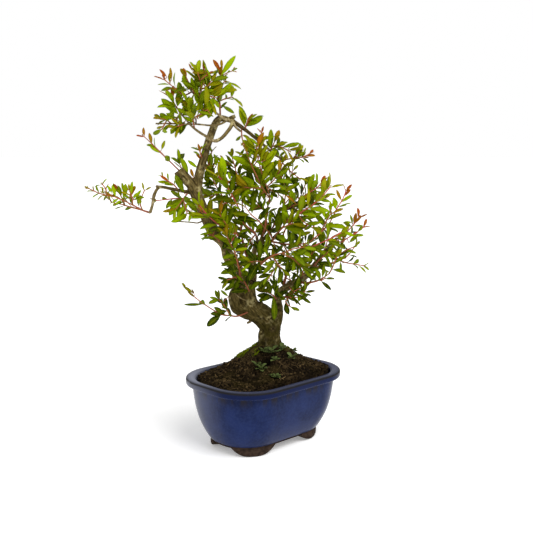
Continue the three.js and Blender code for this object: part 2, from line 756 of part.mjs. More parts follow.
// A closed skin over rings of points. A ring of one point is a pole. The rings turn anticlockwise
// about the way they advance.
function loft(rings) {
  const points = rings.flat();
  const faces = [];
  const starts = [];
  let count = 0;
  for (const ring of rings) {
    starts.push(count);
    count += ring.length;
  }
  for (let r = 0; r + 1 < rings.length; r += 1) {
    const low = rings[r].length;
    const high = rings[r + 1].length;
    const around = Math.max(low, high);
    for (let j = 0; j < around; j += 1) {
      const next = (j + 1) % around;
      const a = starts[r] + (low === 1 ? 0 : j);
      const b = starts[r] + (low === 1 ? 0 : next);
      const c = starts[r + 1] + (high === 1 ? 0 : next);
      const d = starts[r + 1] + (high === 1 ? 0 : j);
      if (low === 1) faces.push([a, c, d]);
      else if (high === 1) faces.push([a, b, d]);
      else faces.push([a, b, c], [a, c, d]);
    }
  }
  const first = rings[0].length;
  for (let j = 1; j + 1 < first; j += 1) faces.push([0, j + 1, j]);
  const last = rings[rings.length - 1].length;
  const base = starts[rings.length - 1];
  for (let j = 1; j + 1 < last; j += 1) faces.push([base, base + j, base + j + 1]);

  const geometry = new THREE.BufferGeometry();
  geometry.setFromPoints(points);
  geometry.setIndex(faces.flat());
  return geometry;
}

function solidFrom(geometry) {
  geometry.deleteAttribute("normal");
  geometry.deleteAttribute("uv");
  const merged = geometry.index && !geometry.parameters ? geometry : mergeVertices(geometry);
  const mesh = new wasm.Mesh({
    numProp: 3,
    vertProperties: new Float32Array(merged.attributes.position.array),
    triVerts: new Uint32Array(merged.index.array),
  });
  return new wasm.Manifold(mesh);
}

function geometryFrom(solid) {
  const mesh = solid.getMesh();
  const geometry = new THREE.BufferGeometry();
  geometry.setAttribute("position", new THREE.BufferAttribute(mesh.vertProperties, 3));
  geometry.setIndex(new THREE.BufferAttribute(mesh.triVerts, 1));
  geometry.computeVertexNormals();
  return geometry;
}

function joined(solids) {
  return wasm.Manifold.union(solids);
}

function largestPiece(solid) {
  const pieces = solid.decompose();
  pieces.sort((one, other) => other.volume() - one.volume());
  return pieces[0];
}

// ---- Pot ----

// The plan outline, drawn in by an inset. Its points run anticlockwise from the +X side.
function potOutline(inset, z) {
  const radius = POT_CORNER - CORNER_SHARE * inset;
  const x = POT_LENGTH / 2 - LENGTH_SHARE * inset - radius;
  const y = POT_WIDTH / 2 - WIDTH_SHARE * inset - radius;
  const corners = [[x, y], [-x, y], [-x, -y], [x, -y]];
  return corners.flatMap(([cx, cy], corner) => {
    const points = [];
    for (let step = 0; step <= CORNER_STEPS; step += 1) {
      const angle = radians(90 * (corner + step / CORNER_STEPS));
      points.push(new THREE.Vector3(cx + radius * Math.cos(angle), cy + radius * Math.sin(angle), z));
    }
    return points;
  });
}

// A foot follows the bowl's edge round one corner. Its ends rise to the bowl in a soft S.
function footSolid(corner) {
  const inset = POT_OUTSIDE[0][0];
  const radius = POT_CORNER - CORNER_SHARE * inset;
  const centreX = POT_LENGTH / 2 - LENGTH_SHARE * inset - radius;
  const centreY = POT_WIDTH / 2 - WIDTH_SHARE * inset - radius;
  const start = radians(FOOT_START) * radius;
  const arc = radius * Math.PI / 2;
  const rings = [];
  for (let step = 0; step <= FOOT_STEPS; step += 1) {
    const run = mix(start, arc + FOOT_STRAIGHT, step / FOOT_STEPS);
    const angle = Math.min(run, arc) / radius;
    const past = Math.max(run - arc, 0); // along the straight side, past the corner
    const fromMiddle = Math.abs(2 * step / FOOT_STEPS - 1);
    const bottom = (BASE_Z - 1) * THREE.MathUtils.smoothstep(fromMiddle, FOOT_FLAT, 1);
    const at = (out, z) => {
      const x = centreX + (radius + out) * Math.cos(angle) - past;
      return new THREE.Vector3(x, centreY + (radius + out) * Math.sin(angle), z);
    };
    rings.push([
      at(0, FOOT_TOP), at(FOOT_BULGE, mix(bottom, FOOT_TOP, FOOT_BELLY)), at(-FOOT_CHAMFER, bottom),
      at(-FOOT_DEPTH, bottom), at(-FOOT_DEPTH, FOOT_TOP),
    ]);
  }
  const flipX = corner === 1 || corner === 2 ? -1 : 1;
  const flipY = corner >= 2 ? -1 : 1;
  for (const point of rings.flat()) point.set(point.x * flipX, point.y * flipY, point.z);
  if (flipX * flipY < 0) rings.reverse();
  return solidFrom(loft(rings));
}

function potSolid() {
  const rings = [...POT_OUTSIDE, ...POT_INSIDE].map(([inset, z]) => potOutline(inset, z));
  const bowl = solidFrom(loft(rings));
  const feet = [0, 1, 2, 3].map(footSolid);
  let pot = joined([bowl, ...feet]);
  for (const x of Object.values(DRAIN_PLACES)) {
    const hole = new THREE.CylinderGeometry(DRAIN_RADIUS, DRAIN_RADIUS, 2 * FLOOR_Z, DRAIN_SIDES);
    hole.rotateX(Math.PI / 2);
    hole.translate(x, 0, FLOOR_Z);
    pot = pot.subtract(solidFrom(hole));
  }
  return pot;
}

// A small net over a drain hole, with square holes.
function screenSolid(x) {
  const height = FLOOR_Z + SEAT_GAP + SCREEN_THICKNESS / 2;
  const plate = new THREE.BoxGeometry(SCREEN_SIZE, SCREEN_SIZE, SCREEN_THICKNESS);
  let net = solidFrom(plate.translate(x, 0, height));
  const pitch = SCREEN_SIZE / SCREEN_HOLES;
  const middle = (SCREEN_HOLES - 1) / 2;
  for (let i = 0; i < SCREEN_HOLES; i += 1) {
    for (let j = 0; j < SCREEN_HOLES; j += 1) {
      const hole = new THREE.BoxGeometry(SCREEN_HOLE, SCREEN_HOLE, 3 * SCREEN_THICKNESS);
      hole.translate(x + (i - middle) * pitch, (j - middle) * pitch, height);
      net = net.subtract(solidFrom(hole));
    }
  }
  return net;
}

// ---- Soil ----

function soilHeight(x, y, share, seed) {
  const distance = Math.hypot(x, y);
  const mound = MOUND_HEIGHT * Math.exp(-((distance / MOUND_RADIUS) ** 2));
  const rough = SOIL_ROUGHNESS * (chance(seed, share * 100, 5) - 0.5);
  return SOIL_EDGE + SOIL_CROWN * (1 - share) + mound + rough;
}

function soilSolid(wood) {
  const turn = radians(FRONT_TURN);
  const centreX = MOUND_PLACE[0] * Math.cos(turn) - MOUND_PLACE[1] * Math.sin(turn);
  const centreY = MOUND_PLACE[0] * Math.sin(turn) + MOUND_PLACE[1] * Math.cos(turn);
  const wall = POT_INSIDE.slice(2).reverse();
  const rings = wall.map(([inset, z]) => potOutline(inset + WALL_GAP, z + SEAT_GAP));
  const edge = potOutline(POT_INSIDE[1][0] + SOIL_MARGIN + WALL_GAP, SOIL_EDGE);
  rings.push(edge);
  for (const share of SOIL_RINGS) {
    rings.push(edge.map((point, seed) => {
      const x = share * (point.x - centreX);
      const y = share * (point.y - centreY);
      return new THREE.Vector3(centreX + x, centreY + y, soilHeight(x, y, share, seed));
    }));
  }
  rings.push([new THREE.Vector3(centreX, centreY, SOIL_EDGE + SOIL_CROWN + MOUND_HEIGHT)]);
  let soil = solidFrom(loft(rings));
  soil = soil.subtract(wood.rotate([0, 0, FRONT_TURN]));
  for (const x of Object.values(DRAIN_PLACES)) {
    const size = SCREEN_SIZE + 2 * SEAT_GAP;
    const room = new THREE.BoxGeometry(size, size, 2 * (SCREEN_THICKNESS + SEAT_GAP));
    room.translate(x, 0, FLOOR_Z + SEAT_GAP);
    soil = soil.subtract(solidFrom(room));
  }
  return largestPiece(soil);
}

// ---- Stems ----

// Places along a curve with a frame at each: the way on, and two sides that turn as little as
// they can from one place to the next.
function framesAlong(curve, places) {
  const frames = [];
  for (const t of places) {
    const ahead = curve.getTangent(t);
    let start = new THREE.Vector3(1, 0, 0);
    if (frames.length > 0) start = frames[frames.length - 1].side.clone();
    else if (Math.abs(ahead.x) > 0.9) start.set(0, 1, 0);
    const side = start.addScaledVector(ahead, -start.dot(ahead)).normalize();
    const lift = new THREE.Vector3().crossVectors(ahead, side);
    frames.push({ centre: curve.getPoint(t), ahead, side, lift });
  }
  return frames;
}

function radiusAt(radii, share) {
  const place = share * (radii.length - 1);
  const index = Math.min(Math.floor(place), radii.length - 2);
  return mix(radii[index], radii[index + 1], place - index);
}

// A stem is a curve with a radius at each of its points, inside and past its start.
function makeStem(foot, route, radii, sides, options = {}) {
  const points = [foot, ...route.map(vector)];
  const curve = new THREE.CatmullRomCurve3(points, false, "catmullrom", 0.5);
  return { curve, radii, sides, spans: points.length - 1, ...options };
}

// Old wood swells and hollows a little round its girth, and along it.
function swelling(stem, angle, share) {
  if (!stem.gnarled) return 1;
  const along = share * stem.spans;
  const waves = GNARLS.map(([lobes, turn, start, part]) => (
    part * Math.sin(lobes * angle + turn * along + start)));
  return 1 + waves[0] + waves[1];
}

function tubeSolid(stem, wider = 0) {
  const steps = stem.spans * (stem.sides >= 9 ? 2 : 1);
  const places = Array.from({ length: steps + 1 }, (_, step) => step / steps);
  const grow = wider / Math.cos(Math.PI / stem.sides);
  const rings = framesAlong(stem.curve, places).map(({ centre, side, lift }, step) => {
    const share = step / steps;
    const ring = [];
    for (let j = 0; j < stem.sides; j += 1) {
      const angle = 2 * Math.PI * (j + 0.5) / stem.sides + (stem.turn ?? 0);
      const radius = radiusAt(stem.radii, share) * swelling(stem, angle, share) + grow;
      const point = centre.clone();
      point.addScaledVector(side, radius * Math.cos(angle));
      point.addScaledVector(lift, radius * Math.sin(angle));
      ring.push(point);
    }
    return ring;
  });
  if (wider > 0) {
    const frames = framesAlong(stem.curve, [0, 1]);
    for (const point of rings[0]) point.addScaledVector(frames[0].ahead, -wider);
    for (const point of rings[steps]) point.addScaledVector(frames[1].ahead, wider);
  }
  return solidFrom(loft(rings));
}

function pointOn(stem, at) {
  return stem.curve.getPoint(at / stem.spans);
}

function growWood() {
  const stems = {};
  for (const [name, { from, at, root, sides, route }] of Object.entries(WOOD)) {
    const radii = route.map((point) => point[3]);
    const gnarled = radii[0] > GNARLED_RADIUS;
    if (from) {
      stems[name] = makeStem(pointOn(stems[from], at), route, [root, ...radii], sides, { gnarled });
    } else {
      stems[name] = makeStem(vector(route[0]), route.slice(1), radii, sides, { gnarled });
    }
  }
  const flare = pointOn(stems.trunk, 0);
  const start = pointOn(stems.trunk, 1);
  const stockRadii = STOCK_ROUTE.map((point) => point[3]);
  stems.stock = makeStem(start, STOCK_ROUTE, [STOCK_START, ...stockRadii], WOOD.trunk.sides);
  ROOTS.forEach(([direction, length, thickness], index) => {
    const angle = radians(direction);
    const route = ROOT_HEIGHTS.map((z, step) => {
      const reach = length * ROOT_REACH[step];
      return [flare.x + reach * Math.cos(angle), flare.y + reach * Math.sin(angle), z];
    });
    const radii = ROOT_RADII.map((radius) => radius * thickness);
    stems[`root_${index}`] = makeStem(start, route, [radii[0], ...radii], ROOT_SIDES);
  });
  return stems;
}

function growShoots(wood) {
  const stems = {};
  Object.entries(SHOOTS).forEach(([name, shoot], seed) => {
    const parent = stems[shoot.from] ?? wood[shoot.from];
    const radii = shoot.radius ?? YOUNG_RADIUS;
    const node = stems[shoot.from] ? stems[shoot.from].node : name;
    const turn = Math.PI * chance(seed + 1, 7, 3);
    const foot = pointOn(parent, shoot.at);
    stems[name] = makeStem(foot, shoot.route, radii, YOUNG_SIDES, { name, node, seed, turn });
  });
  return stems;
}

// ---- Leaves ----

// One blade: a thin strip that widens and narrows along a spine that arches back. From its start
// to its tip, each section has four corners, below and above, anticlockwise about the way on.
function bladeRings(leaf, start, wider = 0) {
  const { root, along, face, length, droop, width } = leaf;
  const across = new THREE.Vector3().crossVectors(along, face).negate();
  const sections = length < LONG_LENGTH ? SHORT_LEAF : LONG_LEAF;
  const thick = LEAF_THICKNESS / 2 + wider;
  const place = (share) => root.clone()
    .addScaledVector(along, length * share)
    .addScaledVector(face, -length * droop * share * share);
  const section = (share, half) => {
    const up = face.clone().addScaledVector(along, 2 * droop * share).normalize();
    const corner = (side, height) => place(share)
      .addScaledVector(across, side * half)
      .addScaledVector(up, height * thick);
    return [corner(-1, -1), corner(1, -1), corner(1, 1), corner(-1, 1)];
  };
  const rings = sections.map(([share, part]) => section(share, part * width * length + wider));
  if (start !== null) rings.unshift(section(start, LEAF_STALK + wider));
  rings.push([place(1 + wider / length)]);
  return rings;
}

// Leaves stand in pairs, each pair crosswise to the one before, on the four faces of the young
// stem. They lie close to the stem at its tip, spread lower down, and turn to the light.
function pairOf(shoot, stem, pair, turn) {
  const share = pair / Math.max(shoot.pairs - 1, 1);
  const draw = (channel, side = 0) => chance(stem.seed + 1, pair * 2 + side, channel);
  const lastPlace = 1 - END_BUD / stem.curve.getLength();
  const place = shoot.pairs === 1 ? lastPlace : mix(FIRST_PAIR, lastPlace, share);
  const [{ centre, ahead, side, lift }] = framesAlong(stem.curve, [0, place]).slice(1);
  const twist = stem.turn + radians(TWIST_DRAW * (draw(1) - 0.5) + turn);
  const leaves = [0, 1].map((which) => {
    const quarter = 2 * which + pair % 2;
    const angle = twist + radians(90 * quarter);
    const out = side.clone().multiplyScalar(Math.cos(angle)).addScaledVector(lift, Math.sin(angle));
    const spread = radians(mix(...SPREAD, share) + SPREAD_DRAW * (draw(2, which) - 0.5));
    const along = ahead.clone().multiplyScalar(Math.cos(spread));
    along.addScaledVector(out, Math.sin(spread));
    along.z += LEAF_RISE;
    along.normalize();
    const face = ahead.clone().multiplyScalar(FACE_BACK).addScaledVector(out, FACE_IN);
    face.add(vector(FACE_VIEW));
    face.x += FACE_DRAW * (draw(3, which) - 0.5);
    face.y += FACE_DRAW * (draw(4, which) - 0.5);
    face.addScaledVector(along, -face.dot(along)).normalize();
    const size = mix(...LEAF_SIZES, draw(5, which)) * mix(1, LAST_SIZE, share ** 2);
    const radius = radiusAt(stem.radii, place) * Math.SQRT1_2;
    return {
      quarter, along, face,
      root: centre.clone().addScaledVector(out, radius),
      length: shoot.leaf * size,
      width: LEAF_WIDTH * mix(...WIDTH_DRAW, draw(6, which)),
      droop: MOST_DROOP * draw(7, which),
    };
  });
  return { place, twist, leaves };
}

// A young stem is a four-sided tube. At a leaf pair it has a short band, and each leaf grows out
// of a face of that band.
function shootSolid(stem, pairs) {
  const half = LEAF_BAND / 2 / stem.curve.getLength();
  const stations = [];
  for (let point = 0; point < stem.spans; point += 1) {
    const place = point / stem.spans;
    if (point === 0 || pairs.every((pair) => Math.abs(pair.place - place) > BAND_ROOM * half)) {
      stations.push({ place, twist: stem.turn });
    }
  }
  for (const pair of pairs) {
    stations.push({ place: pair.place - half, twist: pair.twist, leaves: pair.leaves });
    stations.push({ place: pair.place + half, twist: pair.twist });
  }
  stations.push({ place: 1, twist: stem.turn });
  stations.sort((one, other) => one.place - other.place);

  const frames = framesAlong(stem.curve, stations.map(({ place }) => place));
  const points = [];
  const faces = [];
  frames.forEach(({ centre, side, lift }, index) => {
    const { place, twist } = stations[index];
    const radius = radiusAt(stem.radii, place);
    if (place === 1 && pairs.length > 0) {
      points.push(centre); // a leafy stem ends in a point
      return;
    }
    for (let corner = 0; corner < 4; corner += 1) {
      const angle = twist + radians(90 * corner - 45);
      const point = centre.clone().addScaledVector(side, radius * Math.cos(angle));
      points.push(point.addScaledVector(lift, radius * Math.sin(angle)));
    }
  });
  const quad = (a, b, c, d) => faces.push([a, b, c], [a, c, d]);
  for (let index = 0; index + 1 < stations.length; index += 1) {
    const low = 4 * index;
    for (let corner = 0; corner < 4; corner += 1) {
      const next = (corner + 1) % 4;
      if (stations[index + 1].place === 1 && pairs.length > 0) {
        faces.push([low + corner, low + next, low + 4]);
        continue;
      }
      const band = [low + corner, low + next, low + 4 + next, low + 4 + corner];
      const leaf = (stations[index].leaves ?? []).find(({ quarter }) => quarter === corner);
      if (!leaf) {
        quad(...band);
        continue;
      }
      let from = band;
      for (const ring of bladeRings(leaf, null)) {
        const start = points.length;
        points.push(...ring);
        if (ring.length === 1) {
          for (let j = 0; j < 4; j += 1) faces.push([from[j], from[(j + 1) % 4], start]);
        } else {
          const to = ring.map((_, j) => start + j);
          for (let j = 0; j < 4; j += 1) {
            const k = (j + 1) % 4;
            if (j === 2) faces.push([from[j], from[k], to[j]], [from[k], to[k], to[j]]);
            else quad(from[j], from[k], to[k], to[j]);
          }
          from = to;
        }
      }
    }
  }
  quad(3, 2, 1, 0);
  const end = 4 * (stations.length - 1);
  if (pairs.length === 0) quad(end, end + 1, end + 2, end + 3);
  const geometry = new THREE.BufferGeometry().setFromPoints(points);
  geometry.setIndex(faces.flat());
  return solidFrom(geometry);
}

// A leaf whose tip has a place of its own, facing the front.
function bladeTo(stem, at, tip) {
  const root = pointOn(stem, at);
  const along = vector(tip).sub(root);
  const length = along.length();
  along.normalize();
  const face = new THREE.Vector3(0, -1, 0.25);
  face.addScaledVector(along, -face.dot(along)).normalize();
  return { root, along, face, length, width: LONE_WIDTH * LEAF_WIDTH, droop: LONE_DROOP };
}

function touches(solid, box, things) {
  return things.some((thing) => {
    if (!thing.box.intersectsBox(box)) return false;
    const shared = solid.intersect(thing.solid);
    const hit = !shared.isEmpty();
    shared.delete();
    return hit;
  });
}

// Every pair is tried at a few turns about its stem. A leaf that is never clear is left out.
function growLeaves(stems, oldWood) {
  const stemThings = Object.values(stems).map((stem) => {
    const solid = tubeSolid(stem, SEAT_GAP);
    const { min, max } = solid.boundingBox();
    return { name: stem.name, solid, box: new THREE.Box3(vector(min), vector(max)) };
  });
  const leafThings = [];
  const solidOf = (leaf, start, wider) => solidFrom(loft(bladeRings(leaf, start, wider)));
  const isClear = (stem, leaf) => {
    const box = new THREE.Box3().setFromPoints(bladeRings(leaf, 0, LEAF_CLEARANCE).flat());
    const whole = solidOf(leaf, STALK_START, LEAF_CLEARANCE);
    const blade = solidOf(leaf, BLADE_START, LEAF_CLEARANCE);
    const own = (thing) => thing.name === stem.name;
    const inWood = blade.intersect(oldWood);
    const clear = inWood.isEmpty()
      && !touches(whole, box, stemThings.filter((thing) => !own(thing)))
      && !touches(whole, box, leafThings.filter((thing) => !own(thing)))
      && !touches(blade, box, leafThings.filter(own));
    [whole, blade, inWood].forEach((solid) => solid.delete());
    return clear;
  };
  const keep = (stem, leaf) => {
    const box = new THREE.Box3().setFromPoints(bladeRings(leaf, 0).flat());
    leafThings.push({ name: stem.name, solid: solidOf(leaf, STALK_START, 0), box });
  };
  const grown = {};
  for (const [name, shoot] of Object.entries(SHOOTS)) {
    const stem = stems[name];
    const pairs = [];
    grown[name] = { pairs };
    if (shoot.blade) {
      grown[name].blade = bladeTo(stem, shoot.blade.at, shoot.blade.tip);
      keep(stem, grown[name].blade);
    }
    for (let pair = (shoot.pairs ?? 0) - 1; pair >= 0; pair -= 1) {
      let best = null;
      for (const turn of TURN_TRIES) {
        const found = pairOf(shoot, stem, pair, turn);
        found.leaves = found.leaves.filter((leaf) => isClear(stem, leaf));
        if (!best || found.leaves.length > best.leaves.length) best = found;
        if (best.leaves.length === 2) break;
      }
      best.leaves.forEach((leaf) => keep(stem, leaf));
      if (best.leaves.length > 0) pairs.push(best);
    }
  }
  return grown;
}

// ---- Assembly ----

const glaze = new THREE.MeshStandardMaterial({ color: "#2d3c73", roughness: 0.25 });
const netPlastic = new THREE.MeshStandardMaterial({ color: "#20221f", roughness: 0.6 });
const earth = new THREE.MeshStandardMaterial({ color: "#2b221b", roughness: 1 });
const bark = new THREE.MeshStandardMaterial({ color: "#75664a", roughness: 0.9 });
const foliage = new THREE.MeshStandardMaterial({ color: "#6f9418", roughness: 0.4 });

function piece(name, solid, material) {
  const mesh = new THREE.Mesh(geometryFrom(solid), material);
  mesh.name = name;
  return mesh;
}

const wood = growWood();
const woodSolid = largestPiece(joined(Object.values(wood).map((stem) => tubeSolid(stem))));
const woodRoom = joined(Object.values(wood).map((stem) => tubeSolid(stem, SEAT_GAP)));
const shoots = growShoots(wood);
const grown = growLeaves(shoots, woodRoom);

const tree = new THREE.Group();
tree.rotation.z = radians(FRONT_TURN);
tree.add(piece("trunk", woodSolid, bark));
for (const node of new Set(Object.values(shoots).map((stem) => stem.node))) {
  const stems = Object.values(shoots).filter((stem) => stem.node === node);
  const solids = stems.map((stem) => shootSolid(stem, grown[stem.name].pairs));
  const blades = stems.map((stem) => grown[stem.name].blade).filter(Boolean);
  solids.push(...blades.map((leaf) => solidFrom(loft(bladeRings(leaf, 0)))));
  const whole = joined(solids);
  tree.add(piece(node, largestPiece(whole.subtract(woodRoom)), foliage));
}

const bonsai = new THREE.Group();
bonsai.position.set(POT_CENTRE[0], POT_CENTRE[1], 0);
bonsai.add(piece("pot", potSolid(), glaze));
for (const [side, x] of Object.entries(DRAIN_PLACES)) {
  bonsai.add(piece(`drain_screen_${side}`, screenSolid(x), netPlastic));
}
bonsai.add(piece("soil", soilSolid(woodRoom), earth));
bonsai.add(tree);

export default bonsai;
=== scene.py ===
import bpy
import numpy as np
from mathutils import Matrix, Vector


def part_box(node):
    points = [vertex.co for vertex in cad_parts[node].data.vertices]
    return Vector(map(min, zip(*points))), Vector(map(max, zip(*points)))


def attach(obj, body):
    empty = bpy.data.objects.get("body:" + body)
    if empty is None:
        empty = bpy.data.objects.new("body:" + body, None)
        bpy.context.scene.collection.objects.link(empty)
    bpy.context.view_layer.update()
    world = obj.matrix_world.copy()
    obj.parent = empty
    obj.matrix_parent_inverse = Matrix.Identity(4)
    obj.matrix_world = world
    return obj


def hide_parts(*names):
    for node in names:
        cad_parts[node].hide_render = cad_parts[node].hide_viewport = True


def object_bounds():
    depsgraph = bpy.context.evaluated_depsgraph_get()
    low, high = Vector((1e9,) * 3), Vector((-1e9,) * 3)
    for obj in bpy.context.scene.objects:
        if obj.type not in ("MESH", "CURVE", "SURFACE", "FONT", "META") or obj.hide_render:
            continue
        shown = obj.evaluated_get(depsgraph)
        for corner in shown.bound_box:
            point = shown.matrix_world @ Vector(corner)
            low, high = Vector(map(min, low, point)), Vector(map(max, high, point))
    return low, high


# A pomegranate bonsai in a glazed pot. Shapes are worked out in millimetres, with the pot's centre as
# zero, and become metres in the part's own frame when their mesh is made. The tree is described from
# its front: across, away, up.
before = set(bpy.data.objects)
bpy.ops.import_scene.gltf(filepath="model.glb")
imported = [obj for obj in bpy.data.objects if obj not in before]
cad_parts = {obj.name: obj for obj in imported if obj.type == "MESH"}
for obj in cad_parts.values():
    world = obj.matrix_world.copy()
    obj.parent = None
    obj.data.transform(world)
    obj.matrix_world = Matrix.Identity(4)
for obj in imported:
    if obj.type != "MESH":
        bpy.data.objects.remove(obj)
cadBounds = [list(corner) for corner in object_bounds()]
mm = 0.001
potLow, potHigh = (np.array(corner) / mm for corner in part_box("pot"))
potCentre = np.array([*(potLow + potHigh)[:2] / 2, 0])
frontTurn = np.radians(-44)  # the tree's front, from the pot's long side
eye = (3.6, -1300, 470)  # the camera's place, seen from the front
print("frame loaded, pot centre", potCentre.round(1))

chanceFactors = (12.9898, 78.233, 37.719, 43758.5453)  # of the three seeds, and the large multiple
noiseSteps = (1.7, 3.1)  # what a row and a layer of the noise grid add to the seed
lengthSamples = 201
circle = 2 * np.pi


# a number from 0 to 1: what is left after the point of a large multiple of the sine of three seeds
def chance(a, b, c):
    first, second, third, large = chanceFactors
    wave = np.sin(a * first + b * second + c * third) * large
    return wave - np.floor(wave)


def mix(low, high, share):
    return low + (high - low) * share


def unit(ways):
    return ways / np.linalg.norm(ways, axis=-1, keepdims=True)


# rises from 0 to 1 between two values, level at both ends: three squares less two cubes
def ease(value, low, high):
    share = np.clip((value - low) / (high - low), 0, 1)
    return share * share * (3 - 2 * share)


# falls from 1 at zero to nearly 0 past a reach: the bell curve, e to the minus square
def bell(distance, reach):
    return np.exp(-(distance / reach) ** 2)


# smooth noise from 0 to 1: a random number at each whole point of a grid, eased between the eight
def noise(points, seed=0):
    whole = np.floor(points)
    x, y, z = np.moveaxis(ease(points - whole, 0, 1), -1, 0)
    column, row, layer = np.moveaxis(whole, -1, 0)

    def at(i, j, k):
        return chance(column + i, (row + j) * noiseSteps[0] + (layer + k) * noiseSteps[1], seed + 1)

    near = mix(mix(at(0, 0, 0), at(1, 0, 0), x), mix(at(0, 1, 0), at(1, 1, 0), x), y)
    far = mix(mix(at(0, 0, 1), at(1, 0, 1), x), mix(at(0, 1, 1), at(1, 1, 1), x), y)
    return mix(near, far, z)


# noise along a line
def lineNoise(run, offset, seed):
    return noise(np.stack([run, run * 0, run * 0 + offset], -1), seed)


# points and directions of a smooth curve through its knots: on each span, the cubic that leaves each
# knot along the line between that knot's neighbours
def curveAt(knots, places):
    knots = np.asarray(knots, float)
    spans = len(knots) - 1
    padded = np.vstack([2 * knots[0] - knots[1], knots, 2 * knots[-1] - knots[-2]])
    along = np.clip(np.asarray(places, float), 0, 1) * spans
    span = np.minimum(along.astype(int), spans - 1)
    t = (along - span)[:, None]
    before, start, end, after = (padded[span + k] for k in range(4))
    leave = (end - before) / 2
    arrive = (after - start) / 2
    square = 3 * (end - start) - 2 * leave - arrive
    cube = 2 * (start - end) + leave + arrive
    return start + t * (leave + t * (square + t * cube)), unit(leave + t * (2 * square + t * 3 * cube))


# a frame at each place: the way ahead, and two sides that turn as little as they can on the way
def framesAlong(knots, places):
    centre, ahead = curveAt(knots, places)
    side = np.zeros_like(ahead)
    last = np.array([1.0, 0, 0]) if abs(ahead[0][0]) <= 0.9 else np.array([0, 1.0, 0])
    for index, way in enumerate(ahead):
        last = unit(last - way * (last @ way))
        side[index] = last
    return centre, ahead, side, np.cross(ahead, side)


def lengthOf(knots):
    points = curveAt(knots, np.linspace(0, 1, lengthSamples))[0]
    return np.linalg.norm(np.diff(points, axis=0), axis=1).sum()


def radiusAt(radii, places):
    return np.interp(places, np.linspace(0, 1, len(radii)), radii)


# the point of a stem at a place counted in its own knots
def pointOn(stem, at):
    return curveAt(stem["knots"], [at / (len(stem["knots"]) - 1)])[0][0]


def turned(points, angle):
    c, s = np.cos(angle), np.sin(angle)
    x, y, z = np.moveaxis(points, -1, 0)
    return np.stack([x * c - y * s, x * s + y * c, z], -1)


# from the tree's front to the part's own axes, and back
def fromFront(points):
    return turned(np.asarray(points, float), frontTurn)


def toFront(points):
    return turned(points - potCentre, -frontTurn)


# how far points lie in plan from a spot given as seen from the front
def planGap(x, y, across, away):
    spot = fromFront((across, away, 0))
    return np.hypot(x - spot[0], y - spot[1])


# A tube: a ring of points round the centre of each place, as wide as the radius there times a swell
def tubeRings(knots, radii, places, sides, swell=1):
    centre, ahead, side, lift = framesAlong(knots, places)
    angle = np.arange(sides) / sides * circle
    reach = radiusAt(radii, places)[:, None] * swell
    ring = side[:, None] * np.cos(angle)[:, None] + lift[:, None] * np.sin(angle)[:, None]
    return centre[:, None] + reach[..., None] * ring, centre, ahead


# faces of a closed skin over rings of equal count, with one pole before them and one after
def skinFaces(rings, around):
    start = np.arange(rings - 1)[:, None] * around
    here = np.arange(around)
    onward = (here + 1) % around
    quads = np.stack([start + here, start + onward, start + around + onward, start + around + here], -1)
    first = np.stack([np.full(around, rings * around), onward, here], -1)
    top = (rings - 1) * around
    last = np.stack([np.full(around, rings * around + 1), top + here, top + onward], -1)
    return quads.reshape(-1, 4), np.vstack([first, last])


# many skins at once: rings are (skins, rings, around, 3) and poles (skins, 2, 3); values are spread
# over the points of the rings, and a pole takes the mean of the ring beside it
def skins(rings, poles, material=0, uv=(0, 0), **values):
    count, steps, around = rings.shape[:3]
    quads, tris = skinFaces(steps, around)
    offset = np.arange(count)[:, None, None] * (steps * around + 2)

    def spread(field):
        field = np.broadcast_to(field, (count, steps, around)).astype(float)
        ends = field[:, [0, -1]].mean(2)
        return np.concatenate([field.reshape(count, -1), ends], 1).ravel()

    return dict(
        vertices=np.concatenate([rings.reshape(count, -1, 3), poles], 1).reshape(-1, 3),
        quads=(quads + offset).reshape(-1, 4), tris=(tris + offset).reshape(-1, 3),
        material=material, uv=np.stack([spread(field) for field in uv], -1),
        values={name: spread(field) for name, field in values.items()})


def readPoints(mesh):
    numbers = np.zeros(len(mesh.vertices) * 3, np.float32)
    mesh.vertices.foreach_get("co", numbers)
    return numbers.reshape(-1, 3).astype(float) / mm


def writePoints(mesh, points):
    mesh.vertices.foreach_set("co", (points * mm).astype(np.float32).ravel())
    mesh.update()


def writeMark(mesh, name, field, kind="FLOAT"):
    layer = mesh.attributes.get(name) or mesh.attributes.new(name, kind, "POINT")
    layer.data.foreach_set("value" if kind == "FLOAT" else "vector", field.astype(np.float32).ravel())


